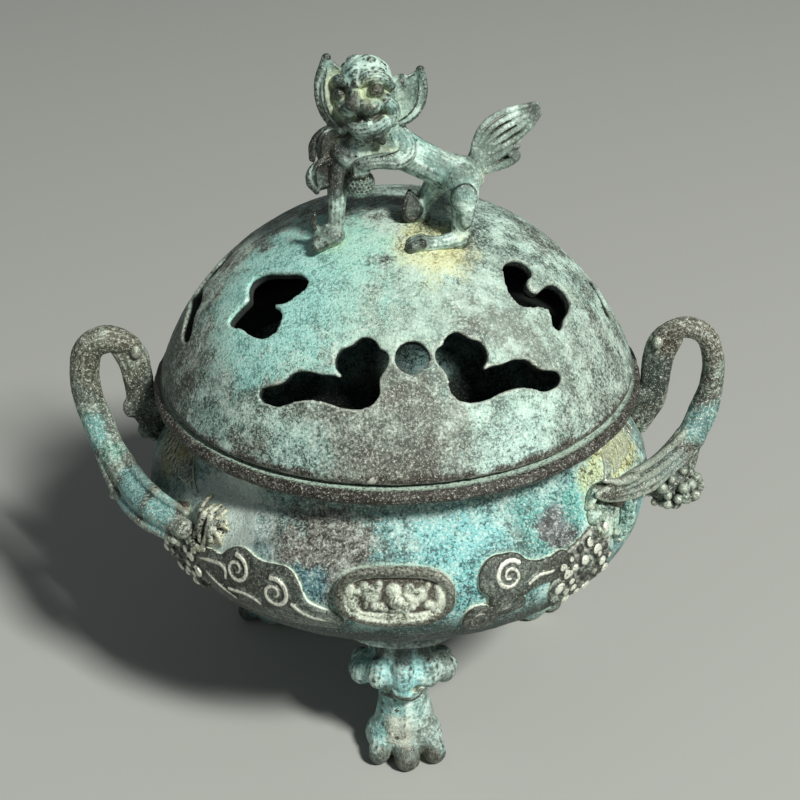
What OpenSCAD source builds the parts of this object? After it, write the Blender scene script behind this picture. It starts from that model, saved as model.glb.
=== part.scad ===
// Lion incense burner: a three-footed bowl, a pierced lid that lifts off, and a lion on the lid.
// Millimetres, +Z up, origin on the ground under the bowl's axis, front of the burner towards -Y.

/* [Bowl] */
// Height of the rim's top above the ground
rim_height = 78; // [75:0.5:82]
// Height of the rim band
rim_band = 4; // [3:0.5:5]
// How far the rim stands out from the neck
rim_flare = 6.5; // [6:0.5:7]
// How far the neck draws in from the belly
neck_step = 9; // [8.5:0.5:9.5]
// Outer radius of the belly at its widest
belly_radius = 55.5; // [54.5:0.5:56.5]
// Radius of the belly's rounded side
belly_round = 17; // [16:0.5:18]
// Distance from the rim's top down to the belly's widest ring
belly_drop = 24.6; // [24:0.2:26]
// Thickness of the cast wall
wall = 2.8; // [2.4:0.1:3.2]

/* [Lid] */
// How far the lid's edge stands back from the rim
lid_step = 2; // [1.5:0.25:3]
// Height of the lid's crown above the rim's top
dome_rise = 38; // [36:0.5:40]
// Thickness of the lid
lid_wall = 2.6; // [2.2:0.1:3]
// Height of the lid's plain edge
lid_edge = 2.2; // [1.8:0.1:2.8]
// Depth of the locating ring below the rim's top
spigot_depth = 4; // [3:0.5:6]
// Clearance between the locating ring and the bowl's mouth
seat_clearance = 0.5; // [0.4:0.1:0.8]
// Turn of the lid's pattern about the axis
lid_turn = 4.6; // [0:0.2:8]
// Radius of the round smoke vents
vent_radius = 3.4; // [3:0.1:3.8]

/* [Legs] */
// Distance of each leg's rivet inside the edge of the flat floor
leg_inset = 5.5; // [5:0.25:6]
// Radius of the ankle
ankle_radius = 5.3; // [4.8:0.1:5.8]
// Radius of one knee lobe
knee_lobe = 4.2; // [3.9:0.1:4.6]
// Radius of one toe
toe_radius = 3.6; // [3.2:0.1:4]
// Radius of the leg rivets
leg_rivet = 2; // [1.6:0.1:2.4]

/* [Handles] */
// Width of the opening between a handle's post and its bow
finger_gap = 5.9; // [5.3:0.1:7]
// Radius of the handle bar
handle_bar = 3.2; // [3:0.1:3.4]
// Height of the handle's top above the rim's top
handle_rise = 10.2; // [9:0.2:11.5]
// Radius of the handle rivets
handle_rivet = 1.5; // [1.2:0.1:1.7]

/* [Ornament] */
// Height of the relief above the belly
relief = 1.5; // [1.2:0.1:1.8]
// Half length of the oval medallion
medallion_half = 11.6; // [10.5:0.1:12.5]
// Half height of the oval medallion
medallion_tall = 6; // [5.5:0.1:6.5]
// Height of the lion from the crown to the top of its head
lion_height = 35; // [33:0.5:36]
// Radius of the ball under the lion's paw
ball_radius = 2.9; // [2.6:0.1:3.2]

/* [Hidden] */
$fn = 64;
// Thin solder line between cast pieces that are fixed together
solder = 0.06;
// Small overlap used where one solid must pass fully through another
past = 1;
belly_core = belly_radius - belly_round;
neck_radius = belly_radius - neck_step;
rim_radius = neck_radius + rim_flare;
lid_radius = rim_radius - lid_step;
leg_circle = belly_core - leg_inset;
belly_height = rim_height - belly_drop;
floor_under = belly_height - belly_round;
mouth_radius = neck_radius - wall;
// Height of the dark reveal between the lid's edge and the rim
lid_reveal = 0.6;
// Radius inside which the lid stands on the rim
seat_radius = lid_radius - 2.2;
crown = rim_height + dome_rise;
dome_base = rim_height + lid_edge;
dome_radius = (lid_radius * lid_radius + pow(crown - dome_base, 2)) / (2 * (crown - dome_base));
dome_centre = crown - dome_radius;
// The lion's own zero, a little above the crown so that its legs reach down the dome
lion_base = crown + 1;
// Angle between the three legs and between the three groups of piercings
third = 120;
// Turns of the comma clouds from the front vent, the front two drawn a little together
comma_turns = [54, 180, -55];
// Knee lobes across the front of a leg
knee_lobes = 4;
knee_front = leg_circle + 4.6;
knee_low = 24.5;
knee_high = floor_under + 4;
ankle_height = 12;
paw_height = 6.4;
// Distance of the middle toe's ball in front of the ankle
toe_reach = 7.2;
// Handle path: the inner post stands just clear of the rim
post_bar = handle_bar - 0.3;
post_x = rim_radius + post_bar + 0.5;
bow_x = post_x + post_bar + finger_gap + handle_bar;
arch_radius = (bow_x - post_x) / 2;
arch_x = (bow_x + post_x) / 2;
arch_z = rim_height + handle_rise - handle_bar - arch_radius;
root_z = rim_height - rim_band - post_bar - 2.6;
bend = 4;
// Where the lower strap meets the belly
strap_turn = 56;
strap_lift = 27;
// Rivets: a cap inside the bowl and a shank into the leg or the handle
rivet_cap = 1.2;
leg_grip = 8.5;
rivet_cap_ratio = 1.8;
rivet_head_x = mouth_radius - rivet_cap - 0.2;
upper_grip = 8;
lower_grip = 6;
// Relief is set on the belly by turn about the axis and lift above the widest ring
mask_turn = 46;
mask_lift = 30;
medallion_turn = -1.2;
medallion_lift = 7.6;
frame_width = 1.5;
// Gap left between the lid's seat and the rim
seat_gap = 0.05;

// Puts its children on the belly, Z along the outward normal
module on_belly(turn, lift) {
    rotate([0, 0, turn])
        translate([0, -belly_core, belly_height])
            rotate([90 - lift, 0, 0])
                children();
}

// Puts its children on the dome, Z along the outward normal
module on_dome(turn, lift) {
    translate([0, 0, dome_centre])
        rotate([0, 0, turn])
            rotate([90 - lift, 0, 0])
                children();
}

// A straight round rod from one point to another
module rod(from, to, radius) {
    run = to - from;
    reach = norm(run);
    translate(from)
        rotate([0, acos(run[2] / reach), atan2(run[1], run[0])])
            cylinder(h = reach, r = radius);
}

// A soft tapering limb between two balls
module limb(from, to, r1, r2) {
    hull() {
        translate(from) sphere(r1, $fn = 18);
        translate(to) sphere(r2, $fn = 18);
    }
}

// A thin fleshy flap over several balls, each given by its centre and radius
module flap(balls, grow) {
    hull()
        for (ball = balls)
            translate(ball[0])
                sphere(ball[1] + grow, $fn = 18);
}

// Bowl
module bowl_outside() {
    translate([belly_core, belly_height])
        circle(belly_round, $fn = 128);
    translate([0, floor_under])
        square([belly_core, belly_round]);
    translate([0, belly_height])
        square([neck_radius, belly_drop]);
    translate([0, rim_height - rim_band])
        square([rim_radius - rim_band / 2, rim_band]);
    translate([rim_radius - rim_band / 2, rim_height - rim_band / 2])
        circle(rim_band / 2);
}

module bowl_inside() {
    translate([belly_core, belly_height])
        circle(belly_round - wall, $fn = 128);
    translate([0, floor_under + wall])
        square([belly_core, belly_round]);
    translate([0, belly_height])
        square([mouth_radius, belly_drop + past]);
}

module bowl_shell() {
    color([0.42, 0.52, 0.46])
        difference() {
            rotate_extrude($fn = 128)
                difference() {
                    bowl_outside();
                    bowl_inside();
                }
            for (k = [0 : 2])
                rotate([0, 0, k * third])
                    translate([0, -leg_circle, floor_under - past])
                        cylinder(h = wall + 2 * past, r = leg_rivet + solder);
            for (side = [-1, 1]) {
                upper_rivet_line(side, handle_rivet + solder, 12);
                lower_rivet_line(side, handle_rivet + solder, 12);
            }
        }
}

// The belly grown by a solder line, for trimming pieces that sit on it
module bowl_body(grow) {
    rotate_extrude($fn = 128)
        union() {
            translate([belly_core, belly_height])
                circle(belly_round + grow, $fn = 128);
            translate([0, floor_under - grow])
                square([belly_core, 2 * belly_round]);
            translate([0, belly_height])
                square([neck_radius + grow, belly_drop]);
        }
}

// Legs
module leg() {
    color([0.40, 0.50, 0.46])
        difference() {
            union() {
                for (k = [0 : knee_lobes - 1]) {
                    lobe_x = (k - (knee_lobes - 1) / 2) * knee_lobe * 1.06;
                    lobe_y = -knee_front + abs(lobe_x) * 0.35;
                    translate([lobe_x, lobe_y, knee_low])
                        rotate([53, 0, 0])
                            sphere(knee_lobe);
                    translate([lobe_x, lobe_y, knee_low])
                        cylinder(h = knee_high - knee_low, r = knee_lobe * 0.96);
                }
                translate([0, -leg_circle, knee_low - 3])
                    cylinder(h = knee_high - knee_low + 3, r = knee_lobe * 1.7);
                translate([0, -leg_circle - 1, 0])
                    cylinder(h = ankle_height + 2, r1 = ankle_radius * 1.35, r2 = ankle_radius);
                translate([0, -leg_circle - 1, ankle_height + 1.5])
                    cylinder(h = knee_low - ankle_height, r1 = ankle_radius, r2 = knee_lobe * 1.6);
                translate([0, -leg_circle - 3, paw_height])
                    sphere(ankle_radius * 1.25);
                for (toe = [-1, 0, 1])
                    translate([toe * toe_radius * 1.5, -leg_circle - 1, 0])
                        rotate([0, 0, toe * 13]) {
                            translate([0, -toe_reach + abs(toe) * 1.2, toe_radius * 0.86])
                                rotate([-26, 0, 0])
                                    sphere(toe_radius);
                            translate([0, 0, toe_radius * 0.86])
                                rotate([90, 0, 0])
                                    cylinder(h = toe_reach - abs(toe) * 1.2, r = toe_radius * 0.92);
                        }
            }
            bowl_body(solder);
            translate([-40, -leg_circle - 60, -20])
                cube([80, 120, 20]);
            translate([0, -leg_circle, floor_under - leg_grip - past / 2])
                cylinder(h = leg_grip + knee_high, r = leg_rivet + solder);
        }
}

module leg_front() {
    leg();
}

module leg_back_left() {
    rotate([0, 0, -third])
        leg();
}

module leg_back_right() {
    rotate([0, 0, third])
        leg();
}

module leg_rivets() {
    color([0.35, 0.30, 0.22])
        for (k = [0 : 2])
            rotate([0, 0, k * third])
                translate([0, -leg_circle, floor_under]) {
                    translate([0, 0, -leg_grip])
                        cylinder(h = wall + leg_grip + past, r = leg_rivet);
                    translate([0, 0, wall + solder])
                        cylinder(h = rivet_cap, r = leg_rivet * rivet_cap_ratio);
                }
}

// Handles
module bar_section(radius) {
    square([2 * radius - 2, 2 * radius + 0.6], center = true);
    for (s = [-1, 1])
        translate([0, s * 0.6])
            circle(radius, $fn = 40);
}

module upper_rivet_line(side, radius, run) {
    translate([side * (mouth_radius - 1.5), 0, root_z])
        rotate([0, side * 90, 0])
            cylinder(h = run, r = radius);
}

module lower_rivet_line(side, radius, run) {
    on_belly(side * strap_turn, strap_lift)
        translate([0, 0, belly_round - wall - 1.5])
            cylinder(h = run, r = radius);
}

module handle(side) {
    strap_reach = belly_core + (belly_round + 1.3) * cos(strap_lift);
    strap_low = [side * (bow_x - 3.9), -5, belly_height + 7];
    strap_mid = [side * (belly_radius + 2), -15.5, belly_height + 5.6];
    strap_end = [side * sin(strap_turn) * strap_reach, -cos(strap_turn) * strap_reach, belly_height + 7.8];
    color([0.30, 0.30, 0.26])
        difference() {
            union() {
                translate([side * arch_x, 0, arch_z])
                    rotate([90, 0, 0])
                        rotate_extrude(angle = 180, $fn = 96)
                            translate([arch_radius, 0])
                                bar_section(handle_bar);
                translate([side * post_x, 0, root_z + bend])
                    cylinder(h = arch_z - root_z - bend, r = post_bar);
                translate([side * (post_x - bend), 0, root_z + bend])
                    rotate([-90, 0, 0])
                        rotate([0, 0, side > 0 ? 0 : 90])
                            rotate_extrude(angle = 90, $fn = 96)
                                translate([bend, 0])
                                    circle(post_bar, $fn = 40);
                rod([side * (neck_radius - 1), 0, root_z], [side * (post_x - bend), 0, root_z], post_bar);
                limb([side * bow_x, 0, arch_z], [side * bow_x, 0, arch_z - 12], handle_bar, handle_bar);
                limb([side * bow_x, 0, arch_z - 12], strap_low, handle_bar, handle_bar);
                limb(strap_low, strap_mid, handle_bar, handle_bar + 0.3);
                limb(strap_mid, strap_end, handle_bar + 0.3, handle_bar + 0.4);
                limb(strap_low + [side * 1.5, 2, -8], strap_low + [-side * 4.5, 0, -12], 2.8, 3.2);
                limb(strap_low, strap_low + [side * 1.5, 2, -8], handle_bar, 2.8);
            }
            bowl_body(solder);
            upper_rivet_line(side, handle_rivet + solder, upper_grip + 1);
            lower_rivet_line(side, handle_rivet + solder, lower_grip + 1);
        }
}

module handle_left() {
    handle(-1);
}

module handle_right() {
    handle(1);
}

module handle_rivets() {
    color([0.35, 0.30, 0.22])
        for (side = [-1, 1]) {
            translate([side * rivet_head_x, 0, root_z])
                rotate([0, side * 90, 0]) {
                    cylinder(h = rivet_cap, r = handle_rivet * rivet_cap_ratio);
                    cylinder(h = upper_grip, r = handle_rivet);
                }
            on_belly(side * strap_turn, strap_lift)
                translate([0, 0, belly_round - wall - rivet_cap - 0.3]) {
                    cylinder(h = rivet_cap, r = handle_rivet * rivet_cap_ratio);
                    cylinder(h = lower_grip, r = handle_rivet);
                }
        }
}

// Relief
module belly_relief(height) {
    rotate_extrude($fn = 128)
        translate([belly_core, belly_height])
            difference() {
                circle(belly_round + height, $fn = 128);
                circle(belly_round + solder, $fn = 128);
            }
}

module raised(turn, lift, height) {
    intersection() {
        belly_relief(height);
        on_belly(turn, lift)
            translate([0, 0, belly_round - 5])
                linear_extrude(height + 8)
                    children();
    }
}

module oval(half, tall) {
    square([2 * (half - tall), 2 * tall], center = true);
    for (s = [-1, 1])
        translate([s * (half - tall), 0])
            circle(tall);
}

// A beast face in an oval frame: nose, brow and two cheek leaves
module medallion() {
    color([0.30, 0.30, 0.26]) {
        raised(medallion_turn, medallion_lift, relief)
            difference() {
                oval(medallion_half, medallion_tall);
                oval(medallion_half - frame_width, medallion_tall - frame_width);
            }
        raised(medallion_turn, medallion_lift, relief * 0.35)
            oval(medallion_half - frame_width, medallion_tall - frame_width);
        raised(medallion_turn, medallion_lift, relief * 0.9) {
            square([1.8, 5.2], center = true);
            translate([0, -1.6])
                circle(1.7);
            for (s = [-1, 1])
                scale(s > 0 ? 1 : -1)
                    polygon([[2.4, 1.8], [8.2, 0], [2.4, -1.8]]);
        }
    }
}

module medallion_front() {
    medallion();
}

module medallion_back() {
    rotate([0, 0, 180])
        medallion();
}

// A cloud curl: an open ring with a bead in its middle
module curl(radius) {
    difference() {
        circle(radius);
        circle(radius * 0.64);
        translate([0, -radius])
            square([radius * 0.7, radius]);
    }
    circle(radius * 0.32);
}

// A cloud's trailing wisp, discs that shrink from one end to the other
module wisp(from, to, r1, r2) {
    steps = ceil(norm(to - from) / r1);
    for (k = [0 : steps])
        translate(from + (to - from) * k / steps)
            circle(r1 + (r2 - r1) * k / steps, $fn = 32);
}

module cloud_bank() {
    raised(-36, 10.2, relief) {
        curl(4.2);
        wisp([-4, 2.6], [-8.4, 0.4], 1.6, 0.8);
        wisp([3.4, -2.6], [7, -4.6], 1.3, 1.2);
    }
    raised(-26.4, 1.8, relief) {
        curl(4.4);
        wisp([3.6, -3.4], [11, -6], 1.5, 0.6);
        wisp([-2.4, 4.4], [-4, 6.2], 1.1, 0.8);
    }
    raised(23.4, 14.4, relief) {
        curl(4.4);
        wisp([3.6, 3.4], [12, -0.4], 1.5, 0.8);
        wisp([-3.2, -3.4], [2, -7], 1.4, 1.2);
    }
    raised(16.2, -15.4, relief) {
        curl(2.7);
        wisp([2, 2], [6.4, 3.2], 1.2, 0.6);
    }
    raised(39, -8, relief) {
        for (bead = [0 : 4])
            translate([bead * 2.6 - 5, sin(bead * 70) * 1.8])
                circle(1.5);
    }
}

module cloud_scrolls_front() {
    color([0.32, 0.34, 0.30])
        cloud_bank();
}

module cloud_scrolls_back() {
    color([0.32, 0.34, 0.30])
        rotate([0, 0, 180])
            cloud_bank();
}

// Beast masks in front of the handles' lower straps
module mask(side) {
    color([0.62, 0.62, 0.46])
        raised(side * mask_turn, mask_lift, relief * 1.2) {
            circle(3.4);
            for (lock = [0 : 6])
                rotate([0, 0, lock * 30])
                    translate([3.9, 0.4])
                        circle(1.3);
            translate([0, -3.2])
                circle(1.8);
        }
}

module mask_left() {
    mask(-1);
}

module mask_right() {
    mask(1);
}

// Lid
module lid_profile() {
    spigot_radius = mouth_radius - seat_clearance;
    difference() {
        union() {
            intersection() {
                translate([0, dome_centre])
                    circle(dome_radius, $fn = 128);
                translate([0, dome_base])
                    square([lid_radius, dome_rise]);
            }
            translate([0, rim_height + lid_reveal])
                square([lid_radius, lid_edge - lid_reveal]);
            translate([0, rim_height + seat_gap])
                square([seat_radius, lid_edge - seat_gap]);
            translate([0, rim_height - spigot_depth])
                square([spigot_radius, spigot_depth + lid_edge]);
        }
        intersection() {
            translate([0, dome_centre])
                circle(dome_radius - lid_wall, $fn = 128);
            translate([0, dome_base])
                square([lid_radius, dome_rise]);
        }
        translate([0, rim_height - spigot_depth - past])
            square([spigot_radius - lid_wall, spigot_depth + lid_edge + 2 * past]);
    }
}

// One half of the cloud pair beside a vent, its head towards the vent
module vent_cloud() {
    translate([4.4, 5.4])
        circle(3.6);
    translate([8.1, 4.6])
        circle(2.6);
    translate([7, -1.8])
        circle(3.4);
    translate([-5.4, -2.5])
        circle(2.9);
    translate([-9.4, -4.6])
        circle(2.2);
    translate([-12.4, -4.9])
        circle(1.8);
    polygon([[2.6, 0.5], [4, 3], [10, 4], [10, -2], [7, -5], [0, -5], [-5.4, -5.3], [-9.4, -6.7],
             [-12.4, -6.6], [-12.4, -3.1], [-9.4, -2.4], [-5.4, 0.3]]);
}

// The comma cloud higher up between two groups
module comma_cloud() {
    translate([3, -3.6])
        circle(3.6);
    translate([-4, 2.2])
        circle(3.7);
    translate([1.6, 5.6])
        circle(2.6);
    polygon([[-6.8, 0], [-5.6, 5.4], [2, 8], [3.8, 5], [-0.4, 2], [1, -0.6], [4, -7], [-2, -7],
             [-6, -7.8], [-4.4, -4.4], [-4.6, -1.2]]);
}

module pierce(turn, lift) {
    on_dome(turn + lid_turn, lift)
        translate([0, 0, dome_radius - lid_wall - 5])
            linear_extrude(lid_wall + 10)
                children();
}

module lid_dome() {
    color([0.46, 0.52, 0.48])
        difference() {
            rotate_extrude($fn = 128)
                lid_profile();
            for (k = [0 : 2]) {
                on_dome(k * third + lid_turn, 45)
                    translate([0, 0, dome_radius - lid_wall - 5])
                        cylinder(h = lid_wall + 10, r = vent_radius);
                pierce(k * third - 23.3, 40)
                    vent_cloud();
                pierce(k * third + 23.3, 40)
                    mirror([1, 0])
                        vent_cloud();
                pierce(comma_turns[k], 51.5)
                    comma_cloud();
            }
        }
}

// Lion, facing -X with its head turned to the front, drawn for a height of 35
lion_scale = lion_height / 35;
ball_centre = [-6.7, -12, 8.6];

// Puts its children on the crown at the lion's size
module on_crown() {
    translate([0, 0, lion_base])
        scale(lion_scale)
            children();
}

module body_lumps() {
    limb([-8, -9, 15], [-1.6, -9, 15], 4.6, 4.4);
    limb([-1.6, -9, 15], [6.4, -9, 11.6], 4.4, 3.7);
    limb([6.4, -9, 11.6], [14, -9, 8.4], 3.7, 4.2);
    limb([13.8, -11.4, 7.4], [14.4, -13, 2.2], 3.9, 2.6);
    limb([14.4, -13, 2.2], [13.4, -13.8, -2.6], 2.5, 2.2);
    limb([13.4, -13.8, -3.6], [4.8, -16, -3.4], 2.4, 2.4);
    limb([9.6, -6.4, 7], [5.6, -6, 0], 3, 2.1);
    limb([5.8, -6, -0.6], [2.6, -7, -0.6], 2.1, 1.9);
    limb([-10.6, -9.6, 13], [-11.5, -12, 1.8], 2.8, 2);
    limb([-11.8, -12, 0], [-12.6, -12.6, -3.2], 2, 2.4);
    limb([-12.6, -12.6, -3.2], [-15, -13.6, -4], 2.4, 2);
    limb([1.4, -11.4, 15], [-3, -14, 14], 3, 2.1);
    limb([-3, -14, 14], [-6.6, -13, 12.4], 2.1, 1.8);
}

module head_lumps(grow) {
    limb([-4.3, -9.6, 28], [-4.3, -9.6, 25], 6 + grow, 6.1 + grow);
    limb([-4.2, -9, 32], [-4.2, -9, 30], 2.8 + grow, 4 + grow);
    limb([-6, -15.4, 26.4], [-5.6, -14.8, 23.6], 2.8 + grow, 2.6 + grow);
    limb([-4.2, -14, 21.6], [-4.5, -13, 18.4], 2.6 + grow, 1.8 + grow);
    limb([-10, -9, 20], [-12.3, -10, 16], 4 + grow, 3.8 + grow);
    limb([-13, -10, 14], [-15, -10, 8.4], 2.6 + grow, 1.2 + grow);
    limb([-1, -8, 21], [0.8, -8, 18.5], 4 + grow, 3.2 + grow);
    flap([
        [[-9, -10.4, 19.6], 1.2],
        [[-9.4, -9, 28], 1.8],
        [[-13.3, -9, 33.5], 0.8],
        [[-13.9, -9.4, 28.4], 0.7]
    ], grow);
    flap([
        [[0.8, -10, 22.6], 1.2],
        [[0.8, -9, 28], 1.8],
        [[5.8, -9, 30.6], 0.8],
        [[4.6, -9.4, 26.4], 0.7]
    ], grow);
}

module tail_lumps(grow) {
    limb([16.8, -8, 9.4], [17.6, -7, 13.9], 1.9 + grow, 2.2 + grow);
    flap([[[17.4, -7.2, 12.6], 1.8], [[19.6, -7, 16.8], 1.8], [[22.8, -7, 15.6], 1.4]], grow);
    flap([
        [[19.6, -7, 16.8], 1.8],
        [[22.8, -7, 15.6], 1.4],
        [[26.3, -7, 20.2], 1.6],
        [[29.2, -7, 21.6], 0.9]
    ], grow);
    flap([[[17.6, -7.2, 10.8], 1.8], [[22, -7, 14.2], 1.4], [[24.2, -7, 12.6], 1.3]], grow);
}

module lion_body() {
    color([0.34, 0.38, 0.35])
        difference() {
            on_crown()
                body_lumps();
            on_crown()
                head_lumps(solder);
            on_crown()
                tail_lumps(solder);
            translate([0, 0, lion_base] + ball_centre * lion_scale)
                sphere(ball_radius + solder);
            translate([0, 0, dome_centre])
                sphere(dome_radius + solder, $fn = 128);
        }
}

module lion_head() {
    color([0.36, 0.42, 0.38])
        on_crown()
            head_lumps(0);
}

module lion_tail() {
    color([0.40, 0.46, 0.42])
        on_crown()
            tail_lumps(0);
}

module brocade_ball() {
    color([0.50, 0.52, 0.44])
        translate([0, 0, lion_base] + ball_centre * lion_scale)
            sphere(ball_radius);
}

bowl_shell();
leg_front();
leg_back_left();
leg_back_right();
leg_rivets();
handle_left();
handle_right();
handle_rivets();
mask_left();
mask_right();
medallion_front();
medallion_back();
cloud_scrolls_front();
cloud_scrolls_back();
lid_dome();
lion_body();
lion_head();
lion_tail();
brocade_ball();
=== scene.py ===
"""Lion incense burner: a three-footed bronze bowl with a pierced lid and a lion on the lid."""
import math
import random

import bpy
from mathutils import Matrix, Vector


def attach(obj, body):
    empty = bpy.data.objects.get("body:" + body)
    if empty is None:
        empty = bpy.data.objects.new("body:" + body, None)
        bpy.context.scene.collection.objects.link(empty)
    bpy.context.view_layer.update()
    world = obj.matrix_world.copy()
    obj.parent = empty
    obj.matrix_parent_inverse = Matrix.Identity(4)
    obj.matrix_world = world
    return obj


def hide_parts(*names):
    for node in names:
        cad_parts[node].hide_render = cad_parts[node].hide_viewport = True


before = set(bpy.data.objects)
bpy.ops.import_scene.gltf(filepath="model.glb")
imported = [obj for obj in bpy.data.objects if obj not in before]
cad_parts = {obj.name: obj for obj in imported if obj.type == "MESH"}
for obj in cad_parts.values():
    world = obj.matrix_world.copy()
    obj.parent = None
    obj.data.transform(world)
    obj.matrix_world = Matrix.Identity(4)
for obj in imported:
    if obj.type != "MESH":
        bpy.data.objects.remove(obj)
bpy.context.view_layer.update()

MM = 0.001

# Bowl and lid: lengths in millimetres, turns and lifts in degrees
BELLY_CORE = 38.5
BELLY_HEIGHT = 53.4
BELLY_ROUND = 17.0
WALL = 2.8
FLOOR_UNDER = 36.4
FLOOR_INSIDE = 39.2
NECK_INSIDE = 68.0
NECK_REACH = 47.0
NECK_FOOT = 68.2
MOUTH_RADIUS = 43.7
LIP_AT = (51.4, 76.4)
LIP_ROUND = 1.5
RIM_TOP = 77.9
DOME_RADIUS = 54.226
DOME_CENTRE = 61.774
LID_WALL = 2.6
LID_TURN = 4.6
RING_INSIDE = 40.6
RING_OUTSIDE = 43.2
RING_LOW = 74.0
LID_SEAT = 78.1
VENT_RADIUS = 3.35
VENT_LIFT = 45
CLOUD_LIFT = 40
CLOUD_BESIDE = 23.3
COMMA_LIFT = 51.5
COMMA_LEFT_TURN = -55
COMMA_RIGHT_TURN = 54
LION_BASE = 117.0


# Workshop habits: picking, applying and joining

def clear():
    """Object mode, nothing picked."""
    if bpy.context.object and bpy.context.object.mode != "OBJECT":
        bpy.ops.object.mode_set(mode="OBJECT")
    bpy.ops.object.select_all(action="DESELECT")


def pick(piece):
    """Only this piece picked, and active."""
    clear()
    piece.select_set(True)
    bpy.context.view_layer.objects.active = piece


def settle(piece):
    """Puts the piece's place, turn and size into its mesh."""
    pick(piece)
    bpy.ops.object.transform_apply(location=True, rotation=True, scale=True)


def work(piece, kind, **values):
    """Adds one modifier and applies it."""
    pick(piece)
    tool = piece.modifiers.new(kind.lower(), kind)
    for key, value in values.items():
        setattr(tool, key, value)
    bpy.ops.object.modifier_apply(modifier=tool.name)


def smooth(piece):
    """Shades the piece as one smooth surface."""
    pick(piece)
    bpy.ops.object.shade_smooth()


def joined(pieces):
    """One piece made of several, in the first one's place."""
    clear()
    for piece in pieces:
        piece.select_set(True)
    bpy.context.view_layer.objects.active = pieces[0]
    bpy.ops.object.join()
    return bpy.context.object


def weld(piece):
    """Merges doubled points and turns the faces outwards."""
    pick(piece)
    bpy.ops.object.mode_set(mode="EDIT")
    bpy.ops.mesh.select_all(action="SELECT")
    bpy.ops.mesh.remove_doubles(threshold=0.00001)
    bpy.ops.mesh.normals_make_consistent(inside=False)
    bpy.ops.object.mode_set(mode="OBJECT")


def mm(point):
    """A point in metres from millimetres."""
    return Vector(point) * MM


def drawn(line):
    """A mesh piece from a drawn curve."""
    piece = bpy.data.objects.new(line.name, line)
    bpy.context.collection.objects.link(piece)
    pick(piece)
    bpy.ops.object.convert(target="MESH")
    return bpy.context.object


def stroke(line, path, closed):
    """Draws one smooth stroke through points of x, y, z and radius."""
    strand = line.splines.new("BEZIER")
    strand.bezier_points.add(len(path) - 1)
    for knot, (x, y, z, radius) in zip(strand.bezier_points, path):
        knot.co = mm((x, y, z))
        knot.radius = radius
        knot.handle_left_type = "AUTO"
        knot.handle_right_type = "AUTO"
    strand.use_cyclic_u = closed


# Clay: lumps, rolls and leaves that are joined under one skin

def lump(at, size, turn=(0, 0, 0)):
    """A ball of clay with its three half sizes."""
    if isinstance(size, (int, float)):
        size = (size, size, size)
    clear()
    bpy.ops.mesh.primitive_uv_sphere_add(segments=24, ring_count=14, radius=MM, location=mm(at),
                                         rotation=[math.radians(a) for a in turn], scale=size)
    piece = bpy.context.object
    settle(piece)
    return piece


def roll(path, closed=False):
    """A rolled strand through points of x, y, z and radius."""
    line = bpy.data.curves.new("roll", "CURVE")
    line.dimensions = "3D"
    line.bevel_depth = MM
    line.bevel_resolution = 4
    line.use_fill_caps = True
    line.resolution_u = 6
    stroke(line, path, closed)
    return drawn(line)


def worm(path):
    """A roll with round ends."""
    first, last = path[0], path[-1]
    return [roll(path), lump(first[:3], first[3]), lump(last[:3], last[3])]


def leaf(root, tip, width, face, cup, thick, belly, bend=0.0):
    """A cupped leaf from root to tip; its hollow side looks along face."""
    root, tip, face = Vector(root), Vector(tip), Vector(face)
    along = tip - root
    side = along.cross(face).normalized()
    face = side.cross(along).normalized()
    clear()
    bpy.ops.mesh.primitive_grid_add(x_subdivisions=36, y_subdivisions=44, size=2)
    piece = bpy.context.object
    for point in piece.data.vertices:
        s, t = point.co.x, (point.co.y + 1) / 2
        half = width / 2 * max(0.1, math.sin(math.pi * min(1, 0.08 + 0.92 * t ** belly)))
        lift = cup * s * s * half - bend * math.sin(math.pi * t) * along.length
        point.co = mm(root + along * t + side * (s * half) + face * lift)
    work(piece, "SOLIDIFY", thickness=thick * MM, offset=0)
    return piece


UNEVEN = bpy.data.textures.new("cast_unevenness", "CLOUDS")
UNEVEN.noise_scale = 0.0045
UNEVEN.noise_depth = 3
PITTED = bpy.data.textures.new("cast_pitting", "CLOUDS")
PITTED.noise_scale = 0.0011
PITTED.noise_depth = 2


def roughen(piece, wave, pit):
    """The slight waves and pits of an old sand casting."""
    if wave:
        work(piece, "DISPLACE", texture=UNEVEN, strength=wave * MM, mid_level=0.5, texture_coords="LOCAL")
    if pit:
        work(piece, "DISPLACE", texture=PITTED, strength=pit * MM, mid_level=0.5, texture_coords="LOCAL")


def cast(name, clay, grain, soften, wave=0.0, pit=0.0):
    """Joins clay under one even skin, softens it and roughens it."""
    piece = joined(clay)
    piece.name = name
    piece.data.name = name
    work(piece, "REMESH", mode="VOXEL", voxel_size=grain * MM)
    work(piece, "SMOOTH", factor=0.5, iterations=soften)
    roughen(piece, wave, pit)
    smooth(piece)
    return piece


def spin_about_axis(piece, turn):
    """Turns a piece's mesh about the burner's axis, in degrees."""
    piece.data.transform(Matrix.Rotation(math.radians(turn), 4, "Z"))


def twin(piece, name):
    """A copy with its own mesh."""
    other = piece.copy()
    other.data = piece.data.copy()
    other.name = name
    other.data.name = name
    bpy.context.collection.objects.link(other)
    return other


def copy_turned(piece, name, turn):
    """A copy turned about the burner's axis."""
    other = twin(piece, name)
    spin_about_axis(other, turn)
    return other


def place(piece, body, slot, finish, *nodes):
    """Gives a piece its finish, the body it rides on and the nodes it stands for."""
    piece.data.materials.clear()
    piece.data.materials.append(finish)
    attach(piece, body)
    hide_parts(*nodes)


# Turned pieces

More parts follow.
